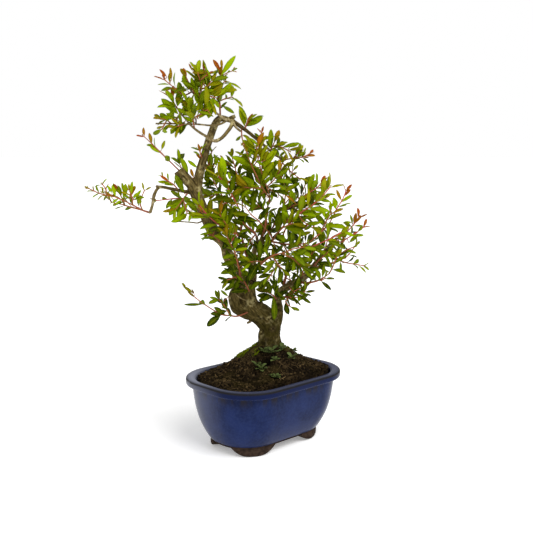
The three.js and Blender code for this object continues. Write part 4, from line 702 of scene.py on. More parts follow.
# The shoots: each starts on a stem of wood or on another shoot, at a place counted in that one's knots.
# Then come its number of leaf pairs, their length, and its route. A shoot without pairs is a bare stem.
shoots = dict(
    apex=("leader", 7.1, 3, 27, (-70, -3, 552), (-71, -4, 572), (-68, -5, 593)),
    apex_right=("apex", 2, 1, 26, (-66, 0, 578), (-61, 3, 583)),
    apex_low=("apex", 1, 1, 24, (-61, 3, 556), (-50, 6, 559)),
    apex_whisker=("apex", 2.8, 1, 12, (-58, -3, 595), (-48, -1, 599)),
    top_left_outer=("pale_cross", 5.8, 3, 24, (-125, -12, 561), (-140, -14, 572), (-156, -15, 585)),
    top_left_inner=("pale_cross", 5.2, 2, 27, (-115, -13, 576), (-121, -16, 588)),
    top_middle=("apex_twig", 3, 2, 29, (-83, -14, 590), (-90, -18, 595)),
    top_front=("pale_cross", 4.8, 3, 31, (-99, -18, 568), (-99, -23, 581), (-102, -25, 594)),
    top_front_side=("top_front", 1, 1, 30, (-88, -25, 573), (-80, -29, 582)),
    top_back=("apex_twig", 1.6, 2, 28, (-87, 3, 569), (-96, 11, 579), (-102, 15, 592)),
    elbow_tip=("elbow", 6.9, 2, 34, (-139, -14, 546), (-144, -15, 556)),
    elbow_middle=("elbow", 5, 3, 32, (-111, -19, 524), (-114, -21, 536), (-120, -22, 549)),
    elbow_side=("elbow_middle", 1, 1, 35, (-98, -24, 531), (-87, -26, 538)),
    shelf_under=("shelf", 4, 2, 24, (-130, -16, 514), (-139, -19, 511)),
    shelf_end=("shelf", 5, 2, 22, (-152, -12, 522), (-163, -13, 525)),
    shelf_end_low=("shelf_end", 1, 1, 20, (-157, -15, 513), (-160, -17, 507)),
    shelf_back=("shelf", 3, 2, 26, (-108, 0, 524), (-117, 9, 531), (-126, 13, 537)),
    arch_knee=("leader", 10.4, 1, 30, (-28, -3, 515), (-25, -6, 524)),
    arch_drop=("leader", 10, 1, 25, (-35, -7, 496), (-31, -13, 482), (-27, -16, 471)),
    arch_middle=("leader", 12.3, 2, 17, (-3, 4, 494), (-5, 2, 505)),
    arch_crown=("leader", 13.3, 2, 27, (13, 5, 482), (17, 2, 490)),
    arch_tip=("leader", 14.9, 3, 22, (47, 16, 463), (62, 14, 465), (74, 12, 471)),
    arch_tip_up=("arch_tip", 1, 2, 22, (53, 12, 470), (58, 10, 475)),
    arch_under=("leader", 14.3, 2, 25, (34, 21, 450), (46, 25, 439), (58, 29, 430)),
    centre_rise=("shoulder", 8.8, 0, 24, (1, -14, 353), (4, -18, 379), (9, -20, 403)),
    pink_left=("centre_rise", 2.9, 3, 32, (-2, -33, 417), (-13, -41, 439), (-22, -45, 459), (-27, -46, 474)),
    pink_left_side=("pink_left", 1, 3, 34, (-18, -38, 418), (-31, -41, 419)),
    pink_right=("centre_rise", 3, 4, 37, (4, -29, 419), (-4, -36, 442), (-10, -40, 465), (-12, -41, 480)),
    pink_right_side=("pink_right", 1, 3, 32, (15, -35, 430), (24, -38, 444)),
    centre_front=("centre_rise", 1, 2, 33, (-9, -28, 366), (-21, -36, 377), (-30, -40, 390)),
    centre_fork=("shoulder", 8.3, 0, 24, (6, 3, 342), (14, 5, 353), (22, 7, 371), (31, 9, 387),
      (44, 11, 403)),
    centre_up=("centre_fork", 4.8, 3, 25, (34, 4, 419), (26, 0, 438), (29, -3, 457)),
    right_upper=("centre_fork", 5, 4, 25, (57, 3, 400), (70, -1, 408), (83, -4, 416), (91, -5, 425)),
    back_centre_top=("centre_fork", 4.1, 3, 26, (35, 22, 407), (40, 32, 426), (47, 38, 444)),
    centre_middle=("centre_fork", 3, 3, 29, (33, -5, 380), (44, -11, 388), (55, -15, 393)),
    centre_reach=("shoulder", 8.9, 0, 24, (12, -11, 331), (31, -16, 328), (52, -20, 328), (70, -24, 330)),
    right_long=("centre_reach", 2, 4, 34, (32, -27, 350), (53, -37, 376), (75, -43, 392), (92, -46, 408),
      (102, -47, 420)),
    right_sweep=("centre_reach", 3, 3, 33, (68, -32, 324), (87, -41, 332), (105, -46, 341), (120, -49, 350)),
    right_tall=("centre_reach", 4, 3, 25, (89, -18, 346), (104, -13, 362), (115, -9, 383), (125, -6, 399),
      (130, -5, 412)),
    centre_low=("centre_reach", 1.9, 2, 27, (37, -28, 317), (46, -36, 306)),
    centre_long=("centre_reach", 1, 3, 35, (21, -24, 346), (32, -33, 357), (45, -38, 363)),
    centre_left=("shoulder", 8.6, 0, 24, (-14, -10, 343), (-26, -16, 355), (-33, -19, 362), (-37, -22, 373)),
    left_red=("centre_left", 4, 4, 33, (-41, -33, 389), (-50, -39, 407), (-61, -42, 424), (-70, -43, 436)),
    back_right=("shoulder", 7, 0, 24, (-3, 18, 311), (14, 36, 329), (32, 52, 351), (48, 64, 370)),
    back_right_top=("back_right", 3, 3, 27, (46, 57, 374), (59, 60, 397), (69, 61, 420)),
    back_right_tip=("back_right", 4, 3, 27, (66, 67, 380), (85, 68, 390), (101, 68, 397)),
    back_right_low=("back_right", 1.3, 2, 26, (9, 30, 298), (21, 38, 287)),
    back_left=("shoulder", 6, 0, 24, (-29, 18, 306), (-36, 36, 329), (-39, 50, 354), (-36, 60, 380)),
    back_left_top=("back_left", 3.9, 4, 27, (-38, 61, 400), (-41, 59, 419), (-46, 55, 439)),
    back_left_side=("back_left", 3, 3, 27, (-51, 54, 367), (-64, 56, 380), (-74, 56, 394)),
    back_left_low=("back_left", 1.2, 2, 25, (-42, 28, 316), (-54, 34, 326)),
    front_low=("shoulder", 5, 0, 24, (-15, -22, 284), (-2, -40, 302), (13, -56, 314), (32, -68, 321)),
    front_low_tip=("front_low", 4, 2, 29, (45, -74, 327), (60, -79, 330)),
    front_low_right=("front_low", 3.7, 3, 26, (44, -76, 312), (54, -81, 303)),
    front_low_middle=("front_low", 3, 2, 27, (21, -63, 302), (30, -66, 292)),
    front_low_left=("front_low", 2, 3, 28, (-11, -52, 305), (-22, -60, 305)),
    front_left=("trunk", 10.4, 0, 24, (-38, -18, 277), (-40, -34, 292), (-43, -47, 309)),
    front_left_up=("front_left", 3, 3, 29, (-47, -52, 323), (-53, -54, 335), (-58, -55, 346)),
    front_left_out=("front_left", 1, 2, 25, (-50, -26, 275), (-59, -30, 272)),
    trunk_back=("trunk", 16.2, 0, 24, (-78, 24, 376), (-62, 38, 391), (-46, 48, 411), (-33, 54, 430)),
    trunk_back_tip=("trunk_back", 4, 2, 25, (-22, 50, 445), (-12, 45, 458), (-6, 40, 471)),
    trunk_back_up=("trunk_back", 3, 3, 25, (-45, 42, 431), (-48, 37, 449), (-53, 33, 466)),
    trunk_back_left=("trunk_back", 2, 4, 25, (-73, 37, 408), (-83, 35, 426), (-87, 33, 444)),
    trunk_front=("trunk", 13.9, 0, 24, (-53, -14, 333), (-40, -25, 344)),
    trunk_front_red=("trunk_front", 2, 3, 30, (-55, -33, 349), (-74, -38, 363), (-91, -40, 379),
      (-100, -40, 391)),
    trunk_front_side=("trunk_front_red", 1, 3, 32, (-61, -42, 364), (-69, -46, 378)),
    trunk_side=("trunk", 14, 1, 24, (-74, -8, 335), (-82, -13, 341), (-89, -15, 344)),
    trunk_low=("trunk", 12, 1, 26, (-51, -8, 294), (-54, -14, 300), (-56, -17, 303)),
    leader_left=("leader", 3, 1, 15, (-100, -6, 468), (-102, -8, 477)),
    leader_right=("leader", 2.2, 2, 19, (-92, 9, 448), (-86, 11, 462), (-84, 11, 474)),
    stub_runner=("trunk", 20.9, 2, 18, (-146, -6, 455), (-163, -8, 472), (-178, -9, 487), (-190, -9, 498)),
    stub_tuft=("trunk", 20, 1, 29, (-132, 9, 446), (-136, 11, 455)),
    limb_sprig=("left_branch", 1.4, 2, 15, (-143, -14, 422), (-152, -16, 428), (-161, -16, 436)),
    limb_hanging=("left_branch", 0.6, 2, 32, (-128, -15, 399), (-134, -19, 390), (-140, -21, 383)),
    limb_hanging_side=("limb_hanging", 1, 1, 27, (-124, -20, 385), (-121, -22, 376)),
    limb_pink=("trunk", 17.6, 2, 17, (-138, 11, 399), (-158, 14, 397), (-175, 15, 395)),
    left_spray=("left_branch", 7, 0, 24, (-194, -6, 381), (-203, -7, 386), (-220, -9, 395),
      (-238, -11, 403)),
    left_spray_back=("left_spray", 1, 0, 24, (-215, 0, 386), (-230, 3, 390), (-245, 4, 393)),
    left_spray_right=("left_spray", 1, 2, 17, (-197, -9, 392), (-193, -10, 405), (-189, -10, 414)),
    left_spray_middle=("left_spray", 2.4, 2, 18, (-209, -14, 402), (-213, -17, 414)),
    left_spray_out=("left_spray", 4, 3, 14, (-249, -12, 405), (-263, -12, 409), (-280, -12, 417)),
    left_spray_up=("left_spray_out", 1, 1, 13, (-250, -15, 415), (-256, -16, 424)),
    left_spray_inner=("left_spray_back", 1.6, 2, 18, (-229, 8, 400), (-236, 11, 412)),
    left_spray_far=("left_spray_back", 3, 2, 16, (-250, 7, 401), (-256, 9, 409)),
    right_tip=("right_stem", 9.8, 3, 22, (123, 4, 329), (132, -3, 335), (146, -10, 345), (160, -14, 356)),
    right_tip_up=("right_stem", 9.95, 2, 22, (129, 19, 338), (140, 22, 349), (148, 23, 358), (155, 24, 368)),
    right_side=("right_stem", 8, 0, 24, (109, 2, 308), (126, -8, 314)),
    right_reach=("right_side", 1.2, 3, 20, (120, -7, 301), (134, -13, 297), (148, -16, 295),
      (160, -17, 293)),
    right_side_tip=("right_side", 2, 2, 21, (133, -12, 319), (143, -14, 323)),
    right_low=("right_stem", 5.8, 0, 24, (68, -8, 264), (87, -24, 271), (102, -36, 283)),
    right_low_tip=("right_low", 3, 2, 23, (108, -41, 296), (113, -45, 312)),
    right_low_under=("right_low", 2, 2, 21, (91, -32, 272), (97, -38, 277)),
    right_back=("right_stem", 7, 0, 24, (96, 24, 287), (117, 38, 292), (135, 48, 297)),
    right_back_tip=("right_back", 3, 2, 23, (145, 50, 307), (153, 52, 319)),
    right_back_up=("right_back", 2, 2, 24, (122, 44, 305), (126, 48, 319)),
    back_low=("right_stem", 4.3, 0, 24, (35, 26, 267), (44, 44, 288), (56, 58, 306)),
    back_low_tip=("back_low", 3, 2, 26, (70, 62, 316), (83, 64, 328)),
    back_low_right=("back_low", 2, 2, 25, (58, 52, 283), (71, 58, 282)),
    back_low_under=("back_low", 1, 2, 23, (47, 38, 260), (59, 46, 255)),
    low_right=("right_stem", 3.4, 0, 24, (41, -10, 241), (55, -22, 243)),
    low_right_tip=("low_right", 2, 2, 22, (60, -29, 250), (65, -33, 255)),
    low_right_fan=("low_right", 1, 2, 23, (49, -22, 253), (59, -31, 260)),
    low_centre=("right_stem", 2.9, 3, 24, (14, -15, 245), (4, -25, 252)),
    lower_left=("shoulder", 1.3, 2, 18, (-41, -18, 212), (-55, -20, 213), (-71, -21, 216), (-98, -21, 233),
      (-113, -21, 245), (-127, -21, 260)),
    lower_left_side=("lower_left", 2, 2, 23, (-63, -24, 229), (-73, -26, 241)),
    limb_front=("shoulder", 3.4, 2, 26, (-26, -24, 258), (-32, -28, 270)),
    right_front=("right_stem", 6, 2, 27, (63, -8, 285), (69, -15, 301), (76, -19, 314)),
    right_middle=("right_stem", 7.1, 2, 26, (85, -6, 298), (93, -15, 307), (102, -21, 317)),
    right_up=("right_stem", 8, 3, 26, (98, 5, 317), (102, 1, 333), (105, -1, 347)),
    trunk_back_under=("trunk_back_left", 1, 2, 28, (-84, 30, 402), (-96, 30, 403)),
    top_front_low=("top_front", 1, 3, 29, (-89, -20, 560), (-75, -20, 556)),
    top_inner_side=("top_front", 2, 1, 28, (-91, -24, 588), (-80, -24, 593)),
    front_low_drop=("front_low_middle", 1, 2, 29, (13, -58, 289), (4, -52, 274)),
    low_right_drop=("low_right", 1, 2, 25, (34, -16, 234), (44, -22, 226)),
    pink_right_low=("pink_right", 1, 2, 33, (16, -24, 411), (32, -24, 409)),
    centre_left_low=("centre_left", 1, 2, 31, (-22, -14, 333), (-32, -20, 322)),
    centre_rise_left=("centre_rise", 2, 3, 33, (-7, -16, 387), (-15, -10, 401)),
    centre_rise_low=("centre_rise", 1, 2, 29, (10, -14, 342), (17, -18, 325)),
    arch_crown_side=("arch_crown", 1, 2, 27, (26, 2, 481), (40, 2, 474)),
    centre_middle_low=("centre_middle", 2, 2, 32, (57, -6, 377), (71, -2, 370)),
    right_long_low=("right_long", 2, 2, 33, (62, -36, 365), (76, -36, 355)),
    right_tall_side=("right_tall", 1, 2, 29, (97, -20, 363), (106, -20, 378)),
    shelf_low_side=("shelf_under", 1, 1, 27, (-137, -8, 520), (-143, -8, 527)),
    back_right_side=("back_right", 3, 3, 30, (44, 50, 344), (61, 50, 336)))
shootRadii = dict(  # at the foot and at the tip, where they aren't those of the rule
    apex=(1.8, 1), apex_whisker=(1.1, 0.9), centre_rise=(2.2, 1.5), centre_fork=(2.2, 1.3),
    centre_reach=(2.1, 1.3), right_long=(1.7, 1), right_sweep=(1.7, 1), centre_left=(1.9, 1.3),
    back_right=(3, 1.2), back_left=(3, 1.2), front_low=(3, 1.2), front_left=(2.6, 1.2),
    trunk_back=(3.2, 1.2), trunk_front=(2.6, 1.4), stub_runner=(1.5, 0.9), left_spray=(2, 1),
    left_spray_back=(1.6, 0.9), right_side=(2.2, 1.1), right_low=(2.6, 1.2), right_back=(2.6, 1.2),
    back_low=(2.8, 1.2), low_right=(2.2, 1.1), lower_left=(1.7, 0.9))
loneBlades = dict(apex=(2.8, (-44, -2, 623)), low_centre=(1, (16, -24, 206)))  # where it starts, its tip
leafRule = dict(
    width=0.172, firstPair=0.3, endBud=2.6, spread=(62, 34), spreadDraw=16, twistDraw=24, rise=0.12,
    faceBack=0.7, faceIn=-0.5, faceView=(0, -0.9, 0.4), faceDraw=0.6, sizes=(0.95, 1.25), lastSize=0.66,
    widthDraw=(0.85, 1.2), droop=0.2, loneWidth=0.8, loneDroop=0.05, loneFace=(0, -1, 0.25), loneShare=0.4,
    turns=(0, 24, -24, 48, -48, 75, -75), match=0.4)
stemRule = dict(
    radii=(1.4, 1), slim=0.85, leafySlim=(1, 0.8),  # slim: share of a CAD stem's radius, which is square
    step=3, sides=8, swelling=0.3, swellReach=1.4, age=(0.6, 1.0), firstAge=(0.15, 1.0),
    pink=1.0, plain=0.6, pinkPower=0.3, stalkRadii=(0.6, 0.5), stalkSides=6, stalkAge=0.8, stalkPink=0.6)
bronzeShoots = {
    "apex", "apex_whisker", "top_left_outer", "elbow_tip", "stub_runner", "arch_knee", "arch_middle",
    "arch_tip", "right_tip", "left_spray", "leader_left", "lower_left", "right_upper", "right_tall",
    "right_tip_up", "top_left_inner"}
pinkShoots = {
    "limb_pink", "right_tip", "right_tip_up", "right_side", "trunk_front", "right_up", "right_long",
    "right_sweep", "left_red", "trunk_front_red", "right_tall", "right_upper"}
slimShoots = dict(arch_knee=0.62, apex=0.85, trunk_side=0.75)
shortShoots = dict(
    right_back_tip=0.6, right_side_tip=0.7, arch_tip=0.72, arch_tip_up=0.75, trunk_low=0.7,
    trunk_side=0.55, back_right_tip=0.8, right_sweep=0.85, right_tall=0.85, right_reach=0.8)
fullLastPair = "right_back_tip"  # its last pair keeps its length, and reaches the part's side

# Single leaves on short stalks, by look: across and up of the leaf's foot, the same of its tip
singleLeaves = dict(
    green=((-134, 531, -162, 556), (-118, 571, -128, 592), (-110, 572, -114, 589), (-112, 566, -126, 580),
      (-103, 546, -109, 563), (-106, 518, -128, 528), (-84, 531, -106, 536), (-69, 558, -51, 580),
      (-163, 470, -181, 481), (-134, 456, -137, 478), (-121, 436, -132, 464), (-150, 424, -170, 426),
      (-121, 392, -140, 369), (-115, 381, -121, 362), (-237, 410, -241, 424), (-225, 409, -227, 425),
      (-212, 405, -210, 427), (-243, 408, -250, 420), (-232, 398, -243, 392), (-212, 400, -199, 409),
      (-105, 447, -122, 460), (-84, 433, -92, 447), (-83, 450, -86, 472), (-72, 452, -80, 470),
      (-27, 511, -2, 527), (10, 478, 3, 491), (20, 482, 24, 496), (40, 480, 56, 487), (69, 411, 80, 439),
      (122, 392, 141, 405), (113, 382, 110, 399), (141, 361, 126, 360), (-14, 345, -2, 361),
      (-20, 340, -28, 352), (-46, 352, -57, 363), (-58, 412, -67, 421), (-54, 428, -57, 441),
      (-62, 452, -77, 466), (-47, 452, -60, 466), (64, 348, 77, 357), (80, 356, 93, 363), (30, 282, 22, 261),
      (43, 281, 58, 271), (38, 242, 47, 254), (58, 234, 72, 244), (60, 238, 76, 229), (72, 266, 84, 281),
      (-58, 290, -71, 296), (-56, 283, -66, 287), (-72, 236, -80, 251), (-58, 240, -71, 251),
      (-72, 236, -91, 229), (-62, 211, -82, 223), (-88, 418, -92, 446), (-80, 420, -97, 433),
      (-86, 440, -89, 470), (-62, 436, -68, 466), (-76, 450, -79, 463), (-20, 392, -31, 408),
      (-16, 382, -33, 393), (-52, 388, -37, 381), (-50, 382, -61, 391), (0, 394, -3, 427),
      (12, 394, 12, 413), (36, 412, 57, 425), (22, 467, 34, 474), (-8, 482, -23, 495), (28, 479, 51, 487),
      (0, 450, -13, 459), (-6, 334, 3, 367), (8, 358, 10, 379), (6, 366, 17, 373), (-22, 345, -35, 359),
      (-14, 346, -21, 367), (-52, 335, -69, 345), (-18, 325, -31, 337), (96, 364, 105, 379),
      (104, 384, 113, 393), (142, 354, 127, 361), (126, 330, 118, 340), (136, 328, 151, 341),
      (128, 346, 144, 339), (-45, 309, -68, 303), (-45, 297, -70, 291), (-45, 288, -71, 278),
      (-42, 275, -61, 280), (-42, 263, -65, 250), (-36, 272, -48, 250), (-54, 321, -35, 334),
      (-36, 300, -17, 306), (-42, 285, -23, 275), (-47, 388, -40, 418), (-57, 395, -80, 406),
      (-3, 410, -36, 434), (-6, 406, -42, 411), (56, 306, 66, 286), (40, 322, 62, 330), (20, 300, 2, 291),
      (84, 296, 100, 284), (92, 310, 112, 318), (66, 276, 84, 268), (44, 262, 62, 258),
      (-124, 575, -127, 592), (-148, 516, -161, 504), (-136, 527, -166, 524), (-104, 556, -112, 582),
      (-118, 530, -138, 541), (-128, 541, -117, 560), (-236, 403, -243, 421), (-228, 404, -233, 420),
      (-222, 402, -221, 423), (-206, 398, -196, 413), (-226, 398, -238, 390)),
    bronze=((-152, 589, -164, 601), (-145, 585, -147, 604), (-68, 597, -80, 616), (-66, 602, -67, 616),
      (-176, 487, -182, 503), (-152, 424, -166, 436), (-233, 407, -240, 423), (-277, 412, -288, 418),
      (-101, 470, -105, 486), (-101, 460, -109, 474), (-112, 432, -117, 447), (-62, 455, -70, 468),
      (-27, 512, -18, 533), (121, 396, 115, 414), (127, 402, 138, 414), (143, 358, 147, 377),
      (144, 358, 157, 372), (-115, 246, -131, 257), (-113, 244, -118, 253), (-112, 240, -125, 249),
      (-100, 376, -106, 391), (-140, 548, -154, 570), (-94, 595, -96, 612), (-112, 598, -118, 610),
      (-94, 592, -79, 598), (-216, 400, -206, 420), (-240, 400, -252, 408)),
    # dark: leaves deep in the crown, given a lower tone as painted shade
    dark=((-136, 517, -148, 501), (-121, 517, -134, 500), (-70, 540, -58, 551), (-66, 545, -47, 533),
      (-128, 408, -142, 437), (-132, 399, -150, 412), (-127, 399, -153, 372), (-108, 382, -125, 394),
      (40, 423, 56, 429), (3, 400, -3, 384), (2, 402, 3, 420), (22, 400, 10, 410), (30, 402, 25, 388),
      (20, 364, 11, 379), (-10, 350, -19, 363), (-18, 328, -26, 314), (-52, 447, -66, 456),
      (66, 330, 67, 344), (80, 314, 89, 304), (10, 278, -10, 271), (0, 270, -9, 253), (24, 272, 33, 257),
      (20, 270, 16, 249), (50, 282, 46, 265), (8, 272, 18, 257), (-58, 268, -71, 262), (-60, 216, -79, 213),
      (-68, 209, -88, 212), (-70, 208, -94, 191), (-98, 418, -80, 425), (-106, 376, -123, 398),
      (-146, 399, -157, 383), (4, 416, 27, 419), (-14, 336, -1, 352), (-12, 365, 3, 381),
      (-10, 318, -24, 328), (-50, 331, -68, 318), (-45, 269, -70, 263), (-36, 291, -11, 285),
      (46, 300, 34, 282), (-14, 290, 4, 284), (30, 250, 42, 238), (16, 262, 8, 246), (-106, 566, -105, 597),
      (-89, 567, -91, 594), (-82, 557, -88, 525), (-124, 522, -140, 501), (-100, 545, -93, 570)),
    pale=((-163, 476, -157, 491), (-30, 511, -39, 543), (2, 460, 15, 475), (-38, 350, -55, 361),
      (-58, 357, -77, 367), (-51, 315, -26, 319), (-58, 350, -86, 372), (-50, 346, -62, 370),
      (-44, 346, -62, 346), (-48, 338, -44, 356), (-33, 366, -56, 385), (-96, 372, -118, 377),
      (-4, 426, 15, 458), (-1, 442, 6, 476), (-104, 524, -78, 549), (-73, 567, -42, 569),
      (-124, 551, -115, 533), (-120, 568, -147, 570)),
    thin=((-96, 228, -131, 227), (-74, 338, -103, 335), (-80, 346, -104, 341), (36, 254, 72, 242),
      (40, 250, 73, 234), (38, 248, 60, 225), (34, 246, 42, 224), (40, 256, 66, 252), (119, 303, 80, 318),
      (56, 292, 84, 276), (60, 288, 80, 268), (84, 290, 106, 280), (26, 292, 40, 274), (22, 296, 16, 276),
      (-40, 300, -62, 288), (-44, 314, -60, 326)))
singleRule = dict(
    width=0.165, widthDraw=(0.8, 1.25), depthShare=0.12, depth=-20, lean=0.3, leanMiddle=0.6, forward=2,
    samples=30, stalkFrom=3, share=0.5, faceDraw=0.6, face=(0, -1, 0.5), seed=81)
# for each look: how bronze, how much that varies, how much brighter, and a share of the width; the dark
# look's lower tone is painted shade
lookRule = dict(
    green=(0, 0.08, 0.1, 1), bronze=(0.7, 0.3, 0, 0.85), dark=(0, 0, -0.4, 1.1),
    pale=(0.2, 0.1, 0.35, 1), thin=(0, 0.1, 0.1, 0.55))
# Finer leaves: smaller pairs between a shoot's pairs, tufts of small leaves in the corners of its pairs,
# pairs on bare stems, and a pair of buds at each tip
fillRule = dict(
    most=0.93, middle=0.6, between=0.9, betweenTurn=45, betweenSeed=40,
    tuft=(0.42, 0.72), tuftTurn=40, tuftShare=0.75, tuftUpTo=0.9, tuftSeed=60,
    bareEvery=11, bareLength=0.75, barePlaces=(0.15, 0.85), bare=(0.6, 1.0), bareLeafy=0.8, bareSeed=80,
    bud=(5, 9), budSeed=99)
# Discs that the finer leaves keep out of: across, up, radius
bareDiscs = (
    (137, 318, 16), (150, 292, 12), (120, 352, 9), (123, 286, 8), (105, 265, 16), (72, 255, 11),
    (43, 217, 15), (75, 228, 8), (118, 419, 9), (108, 404, 6), (134, 404, 8), (136, 392, 6), (124, 373, 6),
    (85, 432, 6), (83, 412, 4), (62, 446, 7), (46, 458, 5), (72, 478, 9), (38, 487, 8), (24, 502, 6),
    (9, 503, 6), (0, 507, 5), (-48, 470, 7), (-60, 307, 8), (-62, 276, 6), (-66, 270, 5), (-155, 530, 9),
    (-160, 507, 7), (-139, 558, 9), (-122, 597, 10), (-162, 597, 5), (-100, 606, 7), (-82, 611, 5),
    (-65, 583, 5), (-132, 467, 5), (-190, 413, 8), (-207, 383, 8), (28, 384, 6), (-18, 383, 5),
    (-27, 372, 6), (30, 371, 5), (44, 346, 5), (78, 350, 6), (-60, 254, 4), (12, 222, 6), (150, 312, 10),
    (158, 360, 5))


# The place on the upright plane through the pot's middle that covers a point, seen from the eye; and
# the point at a given depth that such a place covers
def coveredBy(points):
    scale = eye[1] / (eye[1] - points[..., 1])
    return eye[0] + (points[..., 0] - eye[0]) * scale, eye[2] + (points[..., 2] - eye[2]) * scale


def alongSight(across, up, away):
    scale = (eye[1] - away) / eye[1]
    return np.array([eye[0] + (across - eye[0]) * scale, away, eye[2] + (up - eye[2]) * scale])


def growShoots():
    grown = {}
    for index, (name, (start, at, pairs, length, *route)) in enumerate(shoots.items()):
        parent = grown.get(start) or wood[start]
        knots = np.vstack([pointOn(parent, at), np.array(route, float)])
        grown[name] = dict(
            name=name, node=parent.get("node") or name, seed=index + 1, knots=knots, pairs=pairs,
            leafLength=length, radii=np.array(shootRadii.get(name, stemRule["radii"])),
            turn=np.pi * chance(index + 1, 7, 3), length=lengthOf(knots), turns={}, leaves=[], stalks=[])
    return grown


# a leaf starts at its root and runs along, and its face is squared to that
def newLeaf(root, along, face, **values):
    return dict(root=root, along=along, face=unit(face - along * (face @ along)), **values)


def tipOf(leaf):
    return leaf["root"] + leaf["length"] * (leaf["along"] - leaf["face"] * leaf["droop"])


# where a share of the pairs is reached: from the first pair's place to the bud at the end
def placeOfPair(shoot, share):
    last = 1 - leafRule["endBud"] / shoot["length"]
    return last if shoot["pairs"] == 1 else mix(leafRule["firstPair"], last, share)


def shareOfPair(shoot, pair):
    return pair / max(shoot["pairs"] - 1, 1)


# The two leaves of a pair stand on opposite sides of the stem, crosswise to the pair before. They lie
# close to the stem at its tip, spread lower down, and turn their faces to the light.
def pairOf(shoot, pair, turn, place, share, scale, quarterTurn):
    rule = leafRule

    def draw(channel, which=0):
        return chance(shoot["seed"], 2 * pair + which, channel)

    centre, ahead, side, lift = (found[1] for found in framesAlong(shoot["knots"], [0, place]))
    twist = shoot["turn"] + np.radians(rule["twistDraw"] * (draw(1) - 0.5) + turn)
    leaves = []
    for which in (0, 1):
        angle = twist + np.pi / 2 * (2 * which + quarterTurn)
        out = side * np.cos(angle) + lift * np.sin(angle)
        spread = np.radians(mix(*rule["spread"], share) + rule["spreadDraw"] * (draw(2, which) - 0.5))
        along = unit(ahead * np.cos(spread) + out * np.sin(spread) + (0, 0, rule["rise"]))
        face = rule["faceBack"] * ahead + rule["faceIn"] * out + rule["faceView"]
        face += (rule["faceDraw"] * (draw(3, which) - 0.5), rule["faceDraw"] * (draw(4, which) - 0.5), 0)
        size = mix(*rule["sizes"], draw(5, which)) * mix(1, rule["lastSize"], share ** 2) * scale
        leaves.append(newLeaf(
            centre + out * radiusAt(shoot["radii"], place) * np.sqrt(0.5), along, face, place=place,
            length=shoot["leafLength"] * size, droop=rule["droop"] * draw(7, which), share=share,
            width=rule["width"] * mix(*rule["widthDraw"], draw(6, which)), seed=draw(8, which)))
    return leaves


# Finds out which leaves the CAD spray has, from where its points are: of some turns, the one at which
# most of a pair's tips are there
def leavesOfCad(shoot, points):
    def isThere(leaf):
        return np.linalg.norm(points - tipOf(leaf), axis=1).min() < leafRule["match"]

    for pair in range(shoot["pairs"]):
        share = shareOfPair(shoot, pair)
        place = placeOfPair(shoot, share)
        best = []
        for turn in leafRule["turns"]:
            found = [leaf for leaf in pairOf(shoot, pair, turn, place, share, 1, pair % 2) if isThere(leaf)]
            if len(found) > len(best):
                best = found
                shoot["turns"][pair] = turn
        shoot["leaves"] += best
    if shoot["name"] in loneBlades:
        at, tip = loneBlades[shoot["name"]]
        root = pointOn(shoot, at)
        length = np.linalg.norm(tip - root)
        shoot["leaves"].append(newLeaf(
            root, (tip - root) / length, np.array(leafRule["loneFace"]), length=length,
            width=leafRule["loneWidth"] * leafRule["width"], droop=leafRule["loneDroop"],
            share=leafRule["loneShare"], seed=chance(shoot["seed"], 3, 9),
            place=at / (len(shoot["knots"]) - 1)))
    for leaf in shoot["leaves"]:
        leaf["width"] *= slimShoots.get(shoot["name"], 1)
        if leaf["share"] < 1 or shoot["name"] != fullLastPair:
            leaf["length"] *= shortShoots.get(shoot["name"], 1)


def fillLeaves(shoot):
    rule, pairs, seed, turns = fillRule, shoot["pairs"], shoot["seed"], shoot["turns"]
    extra = []
    for pair in range(pairs - 1):
        share = (pair + 0.5) / (pairs - 1)
        extra += pairOf(shoot, pair + rule["betweenSeed"], turns.get(pair, 0) + rule["betweenTurn"],
                        placeOfPair(shoot, share), share, rule["between"], pair % 2)
    for pair in range(pairs):
        share = shareOfPair(shoot, pair)
        if share < rule["tuftUpTo"]:
            size = mix(*rule["tuft"], chance(seed, pair, 21))
            extra += pairOf(shoot, pair + rule["tuftSeed"], turns.get(pair, 0) + rule["tuftTurn"],
                            placeOfPair(shoot, share), rule["tuftShare"], size, pair % 2)
    if pairs < 2:
        count = int(shoot["length"] * rule["bareLength"] / rule["bareEvery"])
        for step in range(count):
            size = (rule["bareLeafy"] if pairs else 1) * mix(*rule["bare"], chance(seed, step, 22))
            place = mix(*rule["barePlaces"], (step + 0.5) / count)
            extra += pairOf(shoot, step + rule["bareSeed"], 0, place, 0.5, size, step % 2)
    last = 1 - leafRule["endBud"] / shoot["length"]
    size = mix(*rule["bud"], chance(seed, 4, 23)) / shoot["leafLength"]
    buds = pairOf(shoot, rule["budSeed"], 0, min(mix(last, 1, 0.5), 1), 1.0, size, pairs % 2)
    for leaf in buds:
        leaf["bud"] = True
    for leaf in [leaf for leaf in extra if leaf["seed"] < rule["most"]] + buds:
        across, up = coveredBy(leaf["root"] + rule["middle"] * leaf["length"] * leaf["along"])
        if all(np.hypot(across - x, up - z) > radius for x, z, radius in bareDiscs):
            shoot["leaves"].append(leaf)


